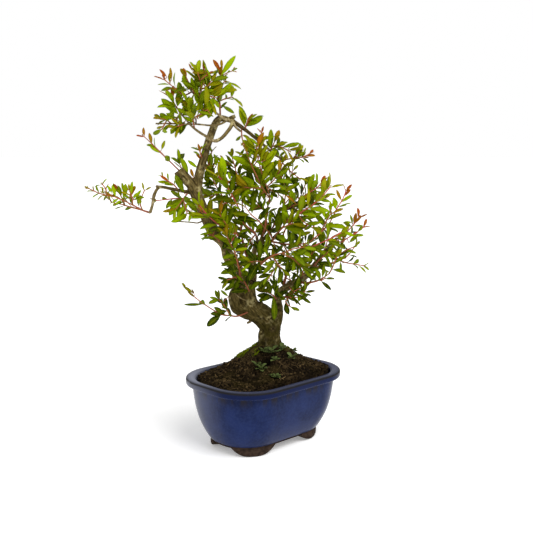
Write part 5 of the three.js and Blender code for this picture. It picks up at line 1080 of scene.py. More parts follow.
# A single leaf grows from the nearest point of the nearest shoot. Where that is some way off, a stalk
# comes first.
def addSingleLeaves():
    rule = singleRule
    count = rule["samples"]
    owners = list(grownShoots.values())
    places = np.concatenate([curveAt(shoot["knots"], np.linspace(0, 1, count))[0] for shoot in owners])
    seenAcross, seenUp = coveredBy(places)
    deep = rule["depthShare"] * np.abs(places[:, 1] - rule["depth"])
    rows = [(look, *row) for look in singleLeaves for row in singleLeaves[look]]
    for number, (look, across, up, tipAcross, tipUp) in enumerate(rows):
        best = (np.hypot(seenAcross - across, seenUp - up) + deep).argmin()
        shoot = owners[best // count]
        start = places[best]
        root = alongSight(across, up, start[1])
        if np.linalg.norm(root - start) < rule["stalkFrom"]:
            root = start
        else:
            shoot["stalks"].append((start, root))
        leanDraw, faceDraw, widthDraw, seed = (
            chance(number, channel, rule["seed"]) for channel in range(4))
        span = np.hypot(tipAcross - across, tipUp - up)
        away = root[1] - rule["forward"] + rule["lean"] * (leanDraw - rule["leanMiddle"]) * span
        reach = alongSight(tipAcross, tipUp, away) - root
        length = np.linalg.norm(reach)
        shoot["leaves"].append(newLeaf(
            root, reach / length, rule["face"] + np.array([rule["faceDraw"] * (faceDraw - 0.5), 0, 0]),
            length=length, width=rule["width"] * lookRule[look][3] * mix(*rule["widthDraw"], widthDraw),
            droop=0, share=rule["share"], seed=seed, look=look, place=best % count / (count - 1)))


# shortens leaves that would come nearer to the CAD's box than a margin
def keepInBox(leaves, margin=0.6, shortest=0.3):
    low, high = np.array(cadBounds) / mm + ((margin,), (-margin,))
    for leaf in leaves:
        root = fromFront(leaf["root"]) + potCentre
        reach = fromFront(tipOf(leaf)) + potCentre - root
        room = np.where(reach > 0, high - root, low - root) / reach
        leaf["length"] *= np.clip(room.min(), shortest, 1)


# A leaf is lighter towards its shoot's tip and varies at random; it is also lighter far out and high up,
# which is painted light, and darker behind the middle and low down, which is painted shade, and a little
# darker at the very top. Each term is a strength and the two places that it eases in between.
toneAndShadeRule = dict(middle=(0, 370), crown=(150, 230), tip=0.35, dim=0.12, vary=0.8, terms=(
    ("out", 0.3, 0.1, 1.0), ("up", 0.55, 230, 400), ("away", -0.45, -25, 45), ("up", -0.12, 480, 560),
    ("up", -0.14, 360, 290)))
# young leaves are bronze: single ones anywhere, more at the tips, and most on the bronze shoots
youngRule = dict(
    single=0.5, tip=0.4, tipPower=4, bronzeDraw=0.3, bronzeRange=(0.7, 1.15), bronzeBud=0.95,
    bud=(0.3, 0.7), low=0.35, lowRange=(270, 350))


def toneAndShadeLeaves(shoot):
    rule, young = toneAndShadeRule, youngRule
    bronze = shoot["name"] in bronzeShoots
    for leaf in shoot["leaves"]:
        x, y, z = leaf["root"]
        out = np.linalg.norm((np.array([x, z]) - rule["middle"]) / rule["crown"])
        stands = dict(out=out, away=y, up=z)
        tone = rule["tip"] * leaf["share"] - rule["dim"] + rule["vary"] * (leaf["seed"] - 0.5)
        tone += sum(strength * ease(stands[key], *span) for key, strength, *span in rule["terms"])
        leaf["tone"] = np.clip(tone, 0, 1)
        draw, rare = (chance(leaf["seed"] * 50, channel, 31) for channel in (5, 6))
        age = young["single"] * leaf["tone"] * rare ** 2
        age += young["tip"] * leaf["share"] ** young["tipPower"] * draw
        if bronze:
            age = ease(leaf["share"] + young["bronzeDraw"] * draw, *young["bronzeRange"])
        if leaf.get("bud"):
            age = young["bronzeBud"] if bronze else mix(*young["bud"], draw)
        if "look" in leaf:
            most, vary, brighter, _ = lookRule[leaf["look"]]
            age = most + vary * draw
            leaf["tone"] = np.clip(leaf["tone"] + brighter, 0, 1)
        leaf["young"] = age * mix(young["low"], 1, ease(z, *young["lowRange"]))


leafShape = dict(
    stations=(0.0, 0.055, 0.12, 0.25, 0.42, 0.6, 0.78, 0.91),  # shares of the length
    across=(-1, -0.5, 0, 0.5, 1, 0.5, 0, -0.5), upper=(0, -1, -1, -1, 0, 1, 1, 1),  # round a station
    stalk=0.45, stalkShare=0.06, stalkLength=20, widest=1.12, blunt=0.66,
    thick=0.22, thickFrom=1.2, ridge=0.3, ridgeWidth=0.3, fold=(10, 30), foldPower=1.3, bow=0.06,
    wave=0.1, wavePhase=6.3, waveTurns=8)


# Blades, all at once: a ring of points at each station along a spine that arches back. The half
# width is a sine of the way along raised to a power below one, which makes a blunt leaf. The halves
# fold up along the midrib, and the edges wave.
def bladeSkins(leaves):
    shape = leafShape

    def column(key, axes=0):
        values = np.array([leaf[key] for leaf in leaves], float)
        return values.reshape(*values.shape, *(1,) * axes)

    def draw(channel):
        return chance(column("seed", 2) * 50, channel, 31)

    root, along, face, length = column("root"), column("along"), column("face"), column("length", 1)
    droop = column("droop", 1)
    sideways = np.cross(face, along)
    s = np.array(shape["stations"])
    u = np.array(shape["across"], float)
    upper = np.array(shape["upper"])
    share = np.clip((s - shape["stalkShare"]) / (1 - shape["stalkShare"]), 0, 1)
    outline = np.sin(np.pi * share ** shape["widest"]) ** shape["blunt"]
    stalk = shape["stalk"] * np.minimum(1, length / shape["stalkLength"])
    half = np.maximum(length * column("width", 1) * outline, stalk)[..., None]
    fold = np.radians(mix(*shape["fold"], draw(1)))
    bow = shape["bow"] * (draw(2)[..., 0] - 0.5) * 4 * s * (1 - s) * length
    wave = shape["wave"] * u * np.sin(
        shape["wavePhase"] * draw(3) + shape["waveTurns"] * s[:, None] + 2 * np.abs(u))
    rib = bell(u, shape["ridgeWidth"]) * (upper < 0) * shape["ridge"]
    thick = shape["thick"] * (np.sqrt(1 - u * u) * upper - rib) * np.minimum(1, half / shape["thickFrom"])
    across = half * u * np.cos(fold)
    up = half * (np.abs(u) ** shape["foldPower"] * np.sin(fold) + wave) + thick
    spine = (root[:, None] + along[:, None] * (length * s)[..., None]
             - face[:, None] * (length * droop * s ** 2)[..., None] + sideways[:, None] * bow[..., None])
    normal = unit(face[:, None] + along[:, None] * (2 * droop * s)[..., None])
    rings = (spine[:, :, None] + sideways[:, None, None] * across[..., None]
             + normal[:, :, None] * up[..., None])
    tip = root + length * (along - face * droop)
    return skins(rings, np.stack([root, tip], 1), uv=(0.5 + 0.5 * u, s[:, None]), under=upper < 0,
                 tone=column("tone", 2), young=column("young", 2))


# young stems: round tubes that swell a little at each leaf pair, and the stalks of single leaves
def stemSkins(shoot):
    rule = stemRule
    places = np.linspace(0, 1, max(int(shoot["length"] / rule["step"]), 5))
    radii = rule["slim"] * shoot["radii"] * (rule["leafySlim"] if shoot["leaves"] else 1)
    pairs = np.array([leaf["place"] for leaf in shoot["leaves"]] or [2.0])
    near = np.abs(places[:, None] - pairs).min(1) * shoot["length"]
    swell = 1 + rule["swelling"] * bell(near, rule["swellReach"])
    rings, centre, ahead = tubeRings(shoot["knots"], radii, places, rule["sides"], swell[:, None])
    poles = np.stack([centre[0], centre[-1] + ahead[-1] * radii[-1]])
    ages = rule["firstAge"] if shoot["node"] == shoot["name"] else rule["age"]
    pink = rule["pink"] if shoot["name"] in pinkShoots else rule["plain"]
    parts = [skins(rings[None], poles[None], 1, tone=mix(*ages, places)[:, None],
                   young=pink * places[:, None] ** rule["pinkPower"])]
    for start, end in shoot["stalks"]:
        rings, centre, _ = tubeRings(
            np.stack([start, end]), rule["stalkRadii"], np.linspace(0, 1, 4), rule["stalkSides"])
        parts.append(skins(rings[None], centre[None, [0, -1]], 1, tone=rule["stalkAge"],
                           young=rule["stalkPink"]))
    return parts


leafLook = dict(
    blotch=((160, 0.35, 0.65, 3), 0.15, seen(160, 166, 8)),
    edgePower=3.0, edge=(0.25, seen(30, 66, 0)),
    veins=95.0, veinSlant=-14.0, veinPower=6.0, vein=(0.1, seen(160, 172, 30)), veinDepth=-0.35,
    uneven=(230, 0.4, 0.7, 2), unevenShare=-0.12,
    ribWidth=(0.16, 0.02), rib=(0.35, seen(154, 164, 30)), ribDepth=-1.0, underShare=0.35,
    strength=0.35, depth=0.0006, roughness=0.38, underRoughness=0.25)


# a leaf: side veins are a sine of the way along, slanted away from the midrib
def makeLeafMaterial(name, dark, bright, bronze, below):
    look = leafLook
    material, tree = newMaterial(name, bright)
    place = placeOn(tree)
    uv = addNode(tree, "UVMap", uv_map="surface").outputs["UV"]
    parts = addNode(tree, "SeparateXYZ", {0: uv}).outputs
    fromRib = calculate(tree, "ABSOLUTE", times(tree, parts["X"], 2.0, -1.0))
    along = times(tree, parts["Y"], look["veins"], times(tree, fromRib, look["veinSlant"]))
    wave = times(tree, calculate(tree, "SINE", along), 0.5, 0.5)
    veins = calculate(tree, "POWER", wave, look["veinPower"])
    rib = ramp(tree, fromRib, *look["ribWidth"], kind="SMOOTHSTEP")
    uneven = useMottle(tree, place, *look["uneven"])
    young = times(tree, uneven, look["unevenShare"], markOf(tree, "young"), clamp=True)
    edge = calculate(tree, "POWER", fromRib, look["edgePower"])
    # the tone mark lays bright over dark: partly each leaf's own tone, partly painted light on outer and
    # high leaves and painted shade on inner and low ones
    colour = layers(
        tree, place, dark, ("tone", 1, bright), look["blotch"], (edge, *look["edge"]),
        (veins, *look["vein"]), (young, 1, bronze), (rib, *look["rib"]),
        ("under", look["underShare"], below))
    height = times(tree, veins, look["veinDepth"], times(tree, rib, look["ribDepth"]))
    bump = addNode(tree, "Bump", {
        "Strength": look["strength"], "Distance": look["depth"], "Height": height})
    gloss = times(tree, markOf(tree, "under"), look["underRoughness"], look["roughness"])
    return dress(material, colour, gloss, Normal=bump.outputs["Normal"])


stemLook = dict(specks=((400, 0.5, 0.7, 3), 0.4, seen(150, 110, 70)), roughness=0.5)


def makeStemMaterial(name, green, brown, pink):
    material, tree = newMaterial(name, green)
    colour = layers(
        tree, placeOn(tree), brown, ("tone", 1, green), ("young", 1, pink), stemLook["specks"])
    return dress(material, colour, stemLook["roughness"])


def camelCase(name):
    first, *rest = name.split("_")
    return first + "".join(word.capitalize() for word in rest)


grownShoots = growShoots()
nodes = {shoot["node"]: [] for shoot in grownShoots.values()}
for shoot in grownShoots.values():
    nodes[shoot["node"]].append(shoot)
for node, members in nodes.items():
    nodePoints = toFront(readPoints(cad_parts[node].data))
    for shoot in members:
        leavesOfCad(shoot, nodePoints)
print("leaves found in the CAD sprays", sum(len(shoot["leaves"]) for shoot in grownShoots.values()))
for shoot in grownShoots.values():
    fillLeaves(shoot)
addSingleLeaves()
for shoot in grownShoots.values():
    toneAndShadeLeaves(shoot)
    keepInBox(shoot["leaves"])
print("leaves in all", sum(len(shoot["leaves"]) for shoot in grownShoots.values()))

leafMaterial = makeLeafMaterial(
    "Leaf", seen(14, 40, 0), seen(147, 175, 0), seen(158, 66, 18), seen(112, 136, 10))
stemMaterial = makeStemMaterial("Young stem", seen(124, 122, 36), seen(84, 66, 46), seen(204, 80, 82))
for node, members in nodes.items():
    leaves = [leaf for shoot in members for leaf in shoot["leaves"]]
    parts = [bladeSkins(leaves)] + [part for shoot in members for part in stemSkins(shoot)]
    ridesAs(meshOf(camelCase(node) + "Spray", parts, [leafMaterial, stemMaterial]), "foliage", node)
print("sprays made")


# Profiles are (inset from the rim's plan outline, height). The outline's corners are arcs.
potShape = dict(
    length=252, width=185, corner=68, lengthShare=0.92, widthShare=1.08, cornerShare=0.52,
    outside=((33, 14), (34, 14.6), (29.5, 21), (22.5, 35), (17, 50), (12.5, 70), (9.6, 92), (9.3, 100),
             (8.2, 102.4), (3.2, 103.3), (0.8, 104.4), (0, 107), (0, 111.5), (0.5, 113.7), (2.2, 115)),
    inside=((6, 115), (10.6, 114.4), (12.4, 113.2), (14.3, 109), (18.5, 80), (24, 55), (31, 36), (40, 22),
            (44, 20)),
    soilFrom=3,  # the inside knot at the soil's edge
    cornerSteps=16, sideSteps=10, steps=4, drain=8, drainSides=24, drainDepth=(5, 30),
    drainPlaces=(-45, 45))
cornerFlips = ((1, 1), (-1, 1), (-1, -1), (1, -1))
# A foot starts some degrees round the corner and runs on along the long side. Its section is given
# round about: how far out, and the share of the way up from its bottom to its top.
footShape = dict(
    start=18, straight=15, inset=34, top=17, ends=13, steps=40, curve=3.2,
    out=(0, 0.9, 1.4, 1.5, 1.1, 0.1, -1.2, -2.5, -6.5, -12.5, -13, -13),
    lift=(1, 0.8, 0.62, 0.45, 0.25, 0.09, 0.02, 0, 0, 0, 0.05, 1))
# heights of the marks on the glaze: where each starts and where it is full
glazeMarks = dict(
    wear=(113.3, 1.8), wearInset=3, wearFrom=110, under=((104.5, 102.8), (84, 102)),
    bare=(17.2, 15.8), bareInside=(106, 100), crest=(113.2, 114.6), lip=(100, 108), lipFrom=105)


# radius and centre of a corner of the plan outline at an inset
def cornerAt(inset):
    shape = potShape
    radius = shape["corner"] - shape["cornerShare"] * inset
    x = shape["length"] / 2 - shape["lengthShare"] * inset - radius
    y = shape["width"] / 2 - shape["widthShare"] * inset - radius
    return radius, x, y


# rings of the plan outline, one for each inset and height, anticlockwise: four arcs, and points along
# the straight sides between them
def potRings(inset, z):
    radius, x, y = cornerAt(np.asarray(inset, float)[:, None])
    arc = np.linspace(0, 90, potShape["cornerSteps"] + 1)
    straight = np.linspace(0, 1, potShape["sideSteps"] + 1)[1:-1, None]

    def around(corner, degrees):
        angle = np.radians(degrees)
        flipX, flipY = cornerFlips[corner % 4]
        return np.stack([x * flipX + radius * np.cos(angle), y * flipY + radius * np.sin(angle)], -1)

    points = []
    for corner in range(4):
        turn = around(corner, arc + 90 * corner)
        end = around(corner + 1, 90 * (corner + 1))
        points += [turn, mix(turn[:, -1:], end, straight)]
    plan = np.concatenate(points, 1)
    heights = np.broadcast_to(np.asarray(z, float)[:, None, None], (*plan.shape[:2], 1))
    return np.concatenate([plan, heights], 2)


# a smooth curve through a profile's points, with some steps between each two
def denser(profile, steps):
    knots = np.array([(inset, 0, z) for inset, z in profile], float)
    points = curveAt(knots, np.linspace(0, 1, (len(profile) - 1) * steps + 1))[0]
    return points[:, 0], points[:, 2]


# A foot runs round one corner. Its ends rise to the bowl by a power of the way from its middle.
def footSkin(corner):
    foot = footShape
    radius, x, y = cornerAt(foot["inset"])
    arc = radius * np.pi / 2
    run = np.linspace(np.radians(foot["start"]) * radius, arc + foot["straight"], foot["steps"])[:, None]
    angle = np.minimum(run, arc) / radius
    past = np.maximum(run - arc, 0)
    fromMiddle = np.abs(np.linspace(-1, 1, foot["steps"]))[:, None]
    bottom = foot["ends"] * fromMiddle ** foot["curve"]
    reach = radius + np.array(foot["out"])
    z = bottom + (foot["top"] - bottom) * np.array(foot["lift"])
    rings = np.stack([x + reach * np.cos(angle) - past, y + reach * np.sin(angle), z], -1)
    rings *= (*cornerFlips[corner], 1)
    if np.prod(cornerFlips[corner]) < 0:
        rings = rings[::-1]  # a mirrored foot would be inside out
    return skins(rings[None], rings[None, [0, -1]].mean(2), bare=1)


def makePot(material):
    shape, marks = potShape, glazeMarks
    outInset, outZ = denser(shape["outside"], shape["steps"])
    inInset, inZ = denser(shape["inside"], shape["steps"])
    inset = np.concatenate([outInset, inInset])[:, None]
    z = np.concatenate([outZ, inZ])[:, None]
    inner = np.arange(len(z))[:, None] >= len(outZ)
    wear = bell(z - marks["wear"][0], marks["wear"][1])
    made = meshOf("bluePot", [skins(
        potRings(inset[:, 0], z[:, 0])[None], np.array([[(0, 0, outZ[0]), (0, 0, inZ[-1])]]),
        bare=np.maximum(ease(z, *marks["bare"]), inner * ease(z, *marks["bareInside"])),
        wear=wear * (inset < marks["wearInset"]) * (z > marks["wearFrom"]),
        under=ease(z, *marks["under"][0]) * ease(z, *marks["under"][1]),
        crest=ease(z, *marks["crest"]),
        lip=inner * ease(z, *marks["lip"]) + ~inner * (z > marks["lipFrom"]))], [material], front=False)
    angle = np.arange(shape["drainSides"]) / shape["drainSides"] * circle
    low, high = shape["drainDepth"]
    drills = []
    ring = shape["drain"] * np.stack([np.cos(angle), np.sin(angle), 0 * angle], -1)
    for x in shape["drainPlaces"]:
        ends = np.array([(x, 0, low), (x, 0, high)])
        drill = skins((ring + ends[:, None])[None], ends[None])
        drills.append(meshOf("drill", [drill], [], front=False))
        cut = made.modifiers.new("drain", "BOOLEAN")
        cut.operation = "DIFFERENCE"
        cut.solver = "EXACT"
        cut.object = drills[-1]
    applyModifiers(made)
    for drill in drills:
        bpy.data.objects.remove(drill)
    feet = meshOf("potFeet", [footSkin(corner) for corner in range(4)], [material], front=False)
    return made, feet


# the painted reflection on the left end starts and is full at metres to the left
glazeLook = dict(
    clouds=(24, 0.3, 0.72, 5), fine=((260, 0.35, 0.7, 4), 0.3, seen(42, 56, 98)),
    streaks=(95, 0.42, 0.66, 4), streaksAlong=(1, 1, 0.12), runs=(0.85, seen(42, 38, 40)),
    lip=("lip", 0.8, seen(8, 20, 58)),
    # painted reflection: pale grey on the left end, and pale blue along the rim's crest, most of it on the
    # left
    paintedReflectionFrom=(0.02, 0.125), paintedReflectionMost=0.95, bloom=(1.0, seen(134, 136, 146)),
    crestShare=(0.7, 0.2), crestReflection=seen(138, 142, 160),
    pits=((420, 0.74, 0.78, 2), 0.7, seen(28, 26, 34)), worn=(60, 0.16, 0.4, 6),
    wear=(0.95, seen(30, 27, 20)), clay=((180, 0.3, 0.7, 5), 1, seen(64, 50, 41)),
    roughness=0.24, bareRoughness=0.6, wearRoughness=0.3, grain=(160, 0.1, 0.0008), specular=0.075)
netLook = dict(mottle=(300, 0.3, 0.7), roughness=0.7)


# glaze: cloudy blue, dark runs under the rim, a painted pale reflection on the left end and along the rim's
# crest, strongest on the left, brown wear on the rim, and bare clay where the glaze stops
def makeGlaze(name, deep, pale, clay):
    look = glazeLook
    material, tree = newMaterial(name, deep)
    place = placeOn(tree)
    stretched = vectorMath(tree, "MULTIPLY", place, look["streaksAlong"]).outputs[0]
    runs = times(tree, useMottle(tree, stretched, *look["streaks"]), markOf(tree, "under"))
    # painted reflection, growing towards the left end
    leftward = vectorMath(tree, "DOT_PRODUCT", place, fromFront((-1, 0, 0))).outputs["Value"]
    bloom = ramp(tree, leftward, *look["paintedReflectionFrom"], 0.0, look["paintedReflectionMost"], "SMOOTHSTEP")
    wear = times(tree, markOf(tree, "wear"), useMottle(tree, place, *look["worn"]))
    bareClay = layers(tree, place, clay, look["clay"])
    colour = layers(
        tree, place, deep, (look["clouds"], 1, pale), look["fine"], (runs, *look["runs"]), look["lip"],
        (bloom, *look["bloom"]), ("crest", times(tree, bloom, *look["crestShare"]), look["crestReflection"]),
        look["pits"], (wear, *look["wear"]), ("bare", 1, bareClay))
    rough = times(tree, markOf(tree, "bare"), look["bareRoughness"], look["roughness"])
    rough = times(tree, wear, look["wearRoughness"], rough)
    return dress(material, colour, rough, Normal=useGrain(tree, place, *look["grain"]),
                 **{"Specular IOR Level": look["specular"]})


def makeNet(name, low, high):
    material, tree = newMaterial(name, low)
    colour = layers(tree, placeOn(tree), low, (netLook["mottle"], 1, high))
    return dress(material, colour, netLook["roughness"])


glazeMaterial = makeGlaze("Glaze", seen(16, 27, 62), seen(27, 41, 85), seen(40, 30, 24))
for piece in makePot(glazeMaterial):
    ridesAs(piece, "glaze", "pot")
netMaterial = makeNet("Net", seen(24, 26, 24), seen(44, 46, 42))
for name in ("drain_screen_left", "drain_screen_right"):
    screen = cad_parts[name].data
    screen.materials.clear()
    screen.materials.append(netMaterial)
print("pot made")


# The ground: lumps, crumbs and grit are the size and rise of its noise
soilShape = dict(
    edge=109, crown=4, mound=51, moundRadius=62, moundPlace=(8, 4), margin=1.6, wallGap=0.45, seatGap=0.35,
    rings=72, inmost=0.02, noise=((9, 3.4), (3.4, 2.6), (1.4, 1.0)), noiseSeed=7, smoothEdge=(1.0, 0.93),
    hollow=(2, -37), hollowSize=7.5, hollowDepth=13, reach=110)
moundCentre = fromFront((*soilShape["moundPlace"], 0))
# across, away, reach and rise of each heap
heaps = ((106, 14, 36, 4.8), (66, 58, 36, 3), (-98, -14, 30, 2.6), (8, -74, 30, 1.4))


# the hollow at the trunk's foot: a bell curve of the distance to its middle
def hollowAt(points):
    return bell(planGap(points[..., 0], points[..., 1], *soilShape["hollow"]), soilShape["hollowSize"])


# The height of the ground: a mound that falls off as a bell curve, heaps, the hollow, and noise at
# three sizes. The share is how far out of the way to the wall a point lies.
def groundHeight(points, share):
    shape = soilShape
    x, y = points[..., 0], points[..., 1]
    z = shape["edge"] + shape["crown"] * (1 - share)
    z += shape["mound"] * bell(planGap(x, y, *shape["moundPlace"]), shape["moundRadius"])
    for across, away, reach, rise in heaps:
        z += rise * bell(planGap(x, y, across, away), reach)
    level = np.stack([x, y, 0 * x], -1)
    for number, (size, rise) in enumerate(shape["noise"]):
        rough = noise(level / size, number + shape["noiseSeed"]) - 0.5
        z += ease(share, *shape["smoothEdge"]) * rise * rough
    return z - shape["hollowDepth"] * hollowAt(points)


# the height of spots on the mound, whose share is taken from their distance to its middle
def moundHeight(spots):
    gap = planGap(spots[..., 0], spots[..., 1], *soilShape["moundPlace"])
    return groundHeight(spots, gap / soilShape["reach"])


# the soil's rim, some distance in from the wall
def soilRim(margin):
    return potRings([potShape["inside"][potShape["soilFrom"]][0] + margin], [0])[0, :, :2]


# points of the ground at shares of the way from the mound's middle out to the rim, and shares of a turn
def groundPoint(share, turn):
    edge = soilRim(soilShape["margin"] + soilShape["wallGap"])
    index = turn * len(edge)
    low = index.astype(int) % len(edge)
    rim = mix(edge[low], edge[(low + 1) % len(edge)], (index - np.floor(index))[..., None])
    spot = mix(moundCentre[:2], rim, share[..., None])
    return np.concatenate([spot, groundHeight(spot, share)[..., None]], -1)


def makeSoil(materials):
    shape = soilShape
    wallInset, wallZ = denser(potShape["inside"][potShape["soilFrom"] + 1:][::-1], 1)
    wall = potRings(wallInset + shape["wallGap"], wallZ + shape["seatGap"])
    around = wall.shape[1]
    share, turn = np.meshgrid(
        np.linspace(1, shape["inmost"], shape["rings"]), np.arange(around) / around, indexing="ij")
    rings = np.concatenate([wall, groundPoint(share, turn)])
    poles = np.stack([(0, 0, wallZ[0] + shape["seatGap"]), groundPoint(np.array(0.0), np.array(0.0))])
    # painted shade: the hollow at the trunk's foot is painted nearly black where the ground stands above the
    # soil's edge
    pit = hollowAt(rings) * (rings[..., 2] > shape["edge"])
    return meshOf("moundSoil", [skins(rings[None], poles[None], pit=pit)], materials, front=False)


# which points lie outside the hollow
def clearOfHollow(points):
    return hollowAt(points) < np.exp(-1)


# Small closed lumps, all at once: balls of a few faces, squashed and pushed about by noise
lumpShape = dict(degrees=(-45, 0, 45), sides=6, least=0.7, more=0.6, squash=0.75, tip=0.85)


def lumpSkins(centres, sizes, tones, seed):
    shape = lumpShape
    tilt = np.radians(shape["degrees"])[:, None]
    angle = np.arange(shape["sides"]) / shape["sides"] * circle
    ball = np.stack([
        np.cos(tilt) * np.cos(angle), np.cos(tilt) * np.sin(angle), np.sin(tilt) + 0 * angle], -1)
    number = np.arange(len(centres))[:, None]
    push = shape["least"] + shape["more"] * chance(
        number[..., None], np.arange(len(tilt))[:, None], np.arange(len(angle)) + seed)
    stretch = shape["least"] + shape["more"] * chance(number, np.arange(3), seed)
    stretch *= sizes[:, None] * (1, 1, shape["squash"])
    rings = centres[:, None, None] + ball * push[..., None] * stretch[:, None, None]
    tips = np.array([(0, 0, -shape["tip"]), (0, 0, shape["tip"])])
    poles = centres[:, None] + tips * stretch[:, None]
    kept = clearOfHollow(centres)
    return skins(rings[kept], poles[kept], tone=tones[kept, None, None])


# shares of the way out, evenly spread over the ground, and shares of a turn
def scatter(count, seed, low, high):
    number = np.arange(count)
    return np.sqrt(mix(low ** 2, high ** 2, chance(number, 1, seed))), chance(number, 2, seed)


# Grains, crumbs, and crumbs along the rim: how many, the seeds of their places and shapes, the shares
# of the way out that they lie between, their sizes, the power that makes large ones rare, how far they
# stand up as a share of their size, their most tone, and the draw from which they are pale.
grainSets = (
    (3600, 3, 5, (0.1, 0.96), (0.5, 2.4), 3, 0.15, 0.5, 0.985),
    (620, 21, 21, (0.12, 0.97), (1.4, 4.2), 2, -0.2, 0.22, 1),
    (300, 31, 31, (0.94, 1.0), (0.7, 2.0), 2, 0.4, 0.22, 1))
paleSize = 0.5


def makeGrains(materials):
    parts = []
    for count, seed, shapeSeed, shares, sizes, power, lift, most, paleFrom in grainSets:
        number = np.arange(count)
        place = groundPoint(*scatter(count, seed, *shares))
        size = mix(*sizes, chance(number, 4, seed) ** power)
        pale = chance(number, 6, seed) > paleFrom
        tone = np.where(pale, 1.0, most * chance(number, 5, seed) ** 3)
        size = np.where(pale, paleSize * size, size)
        place[:, 2] += lift * size
        parts.append(lumpSkins(place, size, tone, shapeSeed))
    return meshOf("soilGrains", parts, materials, front=False)


threadShape = dict(
    shares=(0.15, 0.9), turns=6.3, steps=5, bend=1.6, rimMargin=5, rimShare=0.96, places=9, sides=5,
    thick=(0.7, 1.2), taper=(1, 1, 0.6), tip=0.3)
# how many fibres and twigs, their lengths, radius, seed, rise and tones
threadSets = ((380, (6, 24), 0.24, 11, 1.2, (0.1, 0.75)), (9, (14, 30), 0.7, 17, 1.0, (0.7, 1.0)))


# Threads lie on the ground: each is a curve through points set down on it, inside a tube. Its points
# are drawn in where they would pass the rim.
def threadSkins(count, lengths, radius, seed, lift, tones):
    shape = threadShape
    parts = []
    rim = soilRim(shape["rimMargin"]) - moundCentre[:2]
    angle = np.arctan2(rim[:, 1], rim[:, 0])
    order = angle.argsort()
    rimAngle, rimReach = angle[order], np.linalg.norm(rim, axis=1)[order]
    starts = groundPoint(*scatter(count, seed, *shape["shares"]))[:, :2]
    steps = shape["steps"]
    for index in range(count):
        bends = shape["bend"] * (chance(index, np.arange(steps), seed + 2) - 0.5)
        way = shape["turns"] * chance(index, 3, seed) + np.cumsum(bends)
        move = np.stack([np.cos(way), np.sin(way)], -1) * mix(*lengths, chance(index, 4, seed)) / steps
        gap = starts[index] + np.vstack([(0, 0), np.cumsum(move, 0)]) - moundCentre[:2]
        limit = np.interp(np.arctan2(gap[:, 1], gap[:, 0]), rimAngle, rimReach, period=circle)
        distance = np.linalg.norm(gap, axis=1)
        shrink = np.minimum(1, shape["rimShare"] * limit / np.maximum(distance, 1))
        spots = moundCentre[:2] + gap * shrink[:, None]
        z = groundHeight(spots, np.minimum(distance * shrink / limit, 1)) + radius
        knots = np.column_stack([spots, z + lift * chance(index, np.arange(steps + 1), seed + 5)])
        if not clearOfHollow(knots).all():
            continue
        thick = radius * mix(*shape["thick"], chance(index, 6, seed))
        rings, centre, ahead = tubeRings(
            knots, thick * np.array(shape["taper"]), np.linspace(0, 1, shape["places"]), shape["sides"])
        poles = centre[[0, -1]] + ahead[[0, -1]] * thick * shape["tip"] * ((-1,), (1,))
        parts.append(skins(rings[None], poles[None], tone=mix(*tones, chance(index, 7, seed))))
    return parts


def makeLitter(materials):
    parts = [part for row in threadSets for part in threadSkins(*row)]
    return meshOf("soilLitter", parts, materials, front=False)


mossShape = dict(
    density=5.2, height=(1.6, 3.6), cushion=1.6, cushionSize=5, edge=(1.15, 0.5), ragged=(0.75, 0.5, 1.2),
    thick=(0.35, 0.6), knee=(0.35, 0.55), kneeThick=1.1, sink=0.4, tone=(0.7, 0.3))
mossPatches = (  # across, away, reach, share of the density
    (-27, 14, 15, 1.0), (-38, 28, 13, 0.8), (-14, 14, 12, 0.8), (22, 16, 9, 0.5), (36, 8, 7, 0.4),
    (-14, -18, 6, 0.35), (-34, 0, 8, 0.3))


# Moss: many short upright blades, each a thin cone that leans a little, on low cushions
def makeMoss(materials):
    shape = mossShape
    least, vary, waves = shape["ragged"]
    parts = []
    for number, (across, away, reach, share) in enumerate(mossPatches):
        index = np.arange(int(shape["density"] * reach ** 2 * share))
        turn = 6.283 * chance(index, 1, 40 + number)
        far = reach * np.sqrt(chance(index, 2, 40 + number))
        far = far * (least + vary * lineNoise(turn * waves, 0, 50 + number))
        spot = fromFront(np.stack([across + far * np.cos(turn), away + far * np.sin(turn), 0 * far], -1))
        foot = np.column_stack([spot[:, :2], moundHeight(spot) - shape["sink"]])
        cushion = noise(spot / shape["cushionSize"], 61) * ease(far / reach, *shape["edge"])
        height = mix(*shape["height"], chance(index, 3, 40 + number)) + shape["cushion"] * cushion
        lean = np.stack([chance(index, channel, number) - 0.5 for channel in (4, 5)], -1) * height[:, None]
        tip = foot + np.column_stack([lean, height])
        knee = foot + np.column_stack([lean * shape["knee"][0], height * shape["knee"][1]])
        angle = np.arange(3) / 3 * circle
        ring = np.stack([np.cos(angle), np.sin(angle), 0 * angle], -1)
        ring = ring * mix(*shape["thick"], chance(index, 6, number))[:, None, None]
        rings = np.stack([foot[:, None] + ring, knee[:, None] + shape["kneeThick"] * ring], 1)
        tone = shape["tone"][0] * chance(index, 7, number) + shape["tone"][1] * cushion
        parts.append(skins(rings, np.stack([foot, tip], 1), tone=tone[:, None, None]))
    return meshOf("moundMoss", parts, materials, front=False)


weedShape = dict(turn=2.4, tilt=(15, 60), rise=0.6, lengths=(0.7, 1.1), width=0.42, droop=0.25, tone=0.5)
weeds = (  # across, away, height, reach, how many leaves
    (1, -24, 8, 13, 6), (13, -26, 7, 14, 6), (28, -14, 9, 12, 6), (44, -22, 4, 11, 6), (17, -38, 3, 9, 5),
    (-5, -53, 5, 12, 8), (-11, -46, 4, 11, 6), (19, -69, 3, 8, 9), (50, 17, 6, 8, 6), (11, -66, 2, 6, 5))


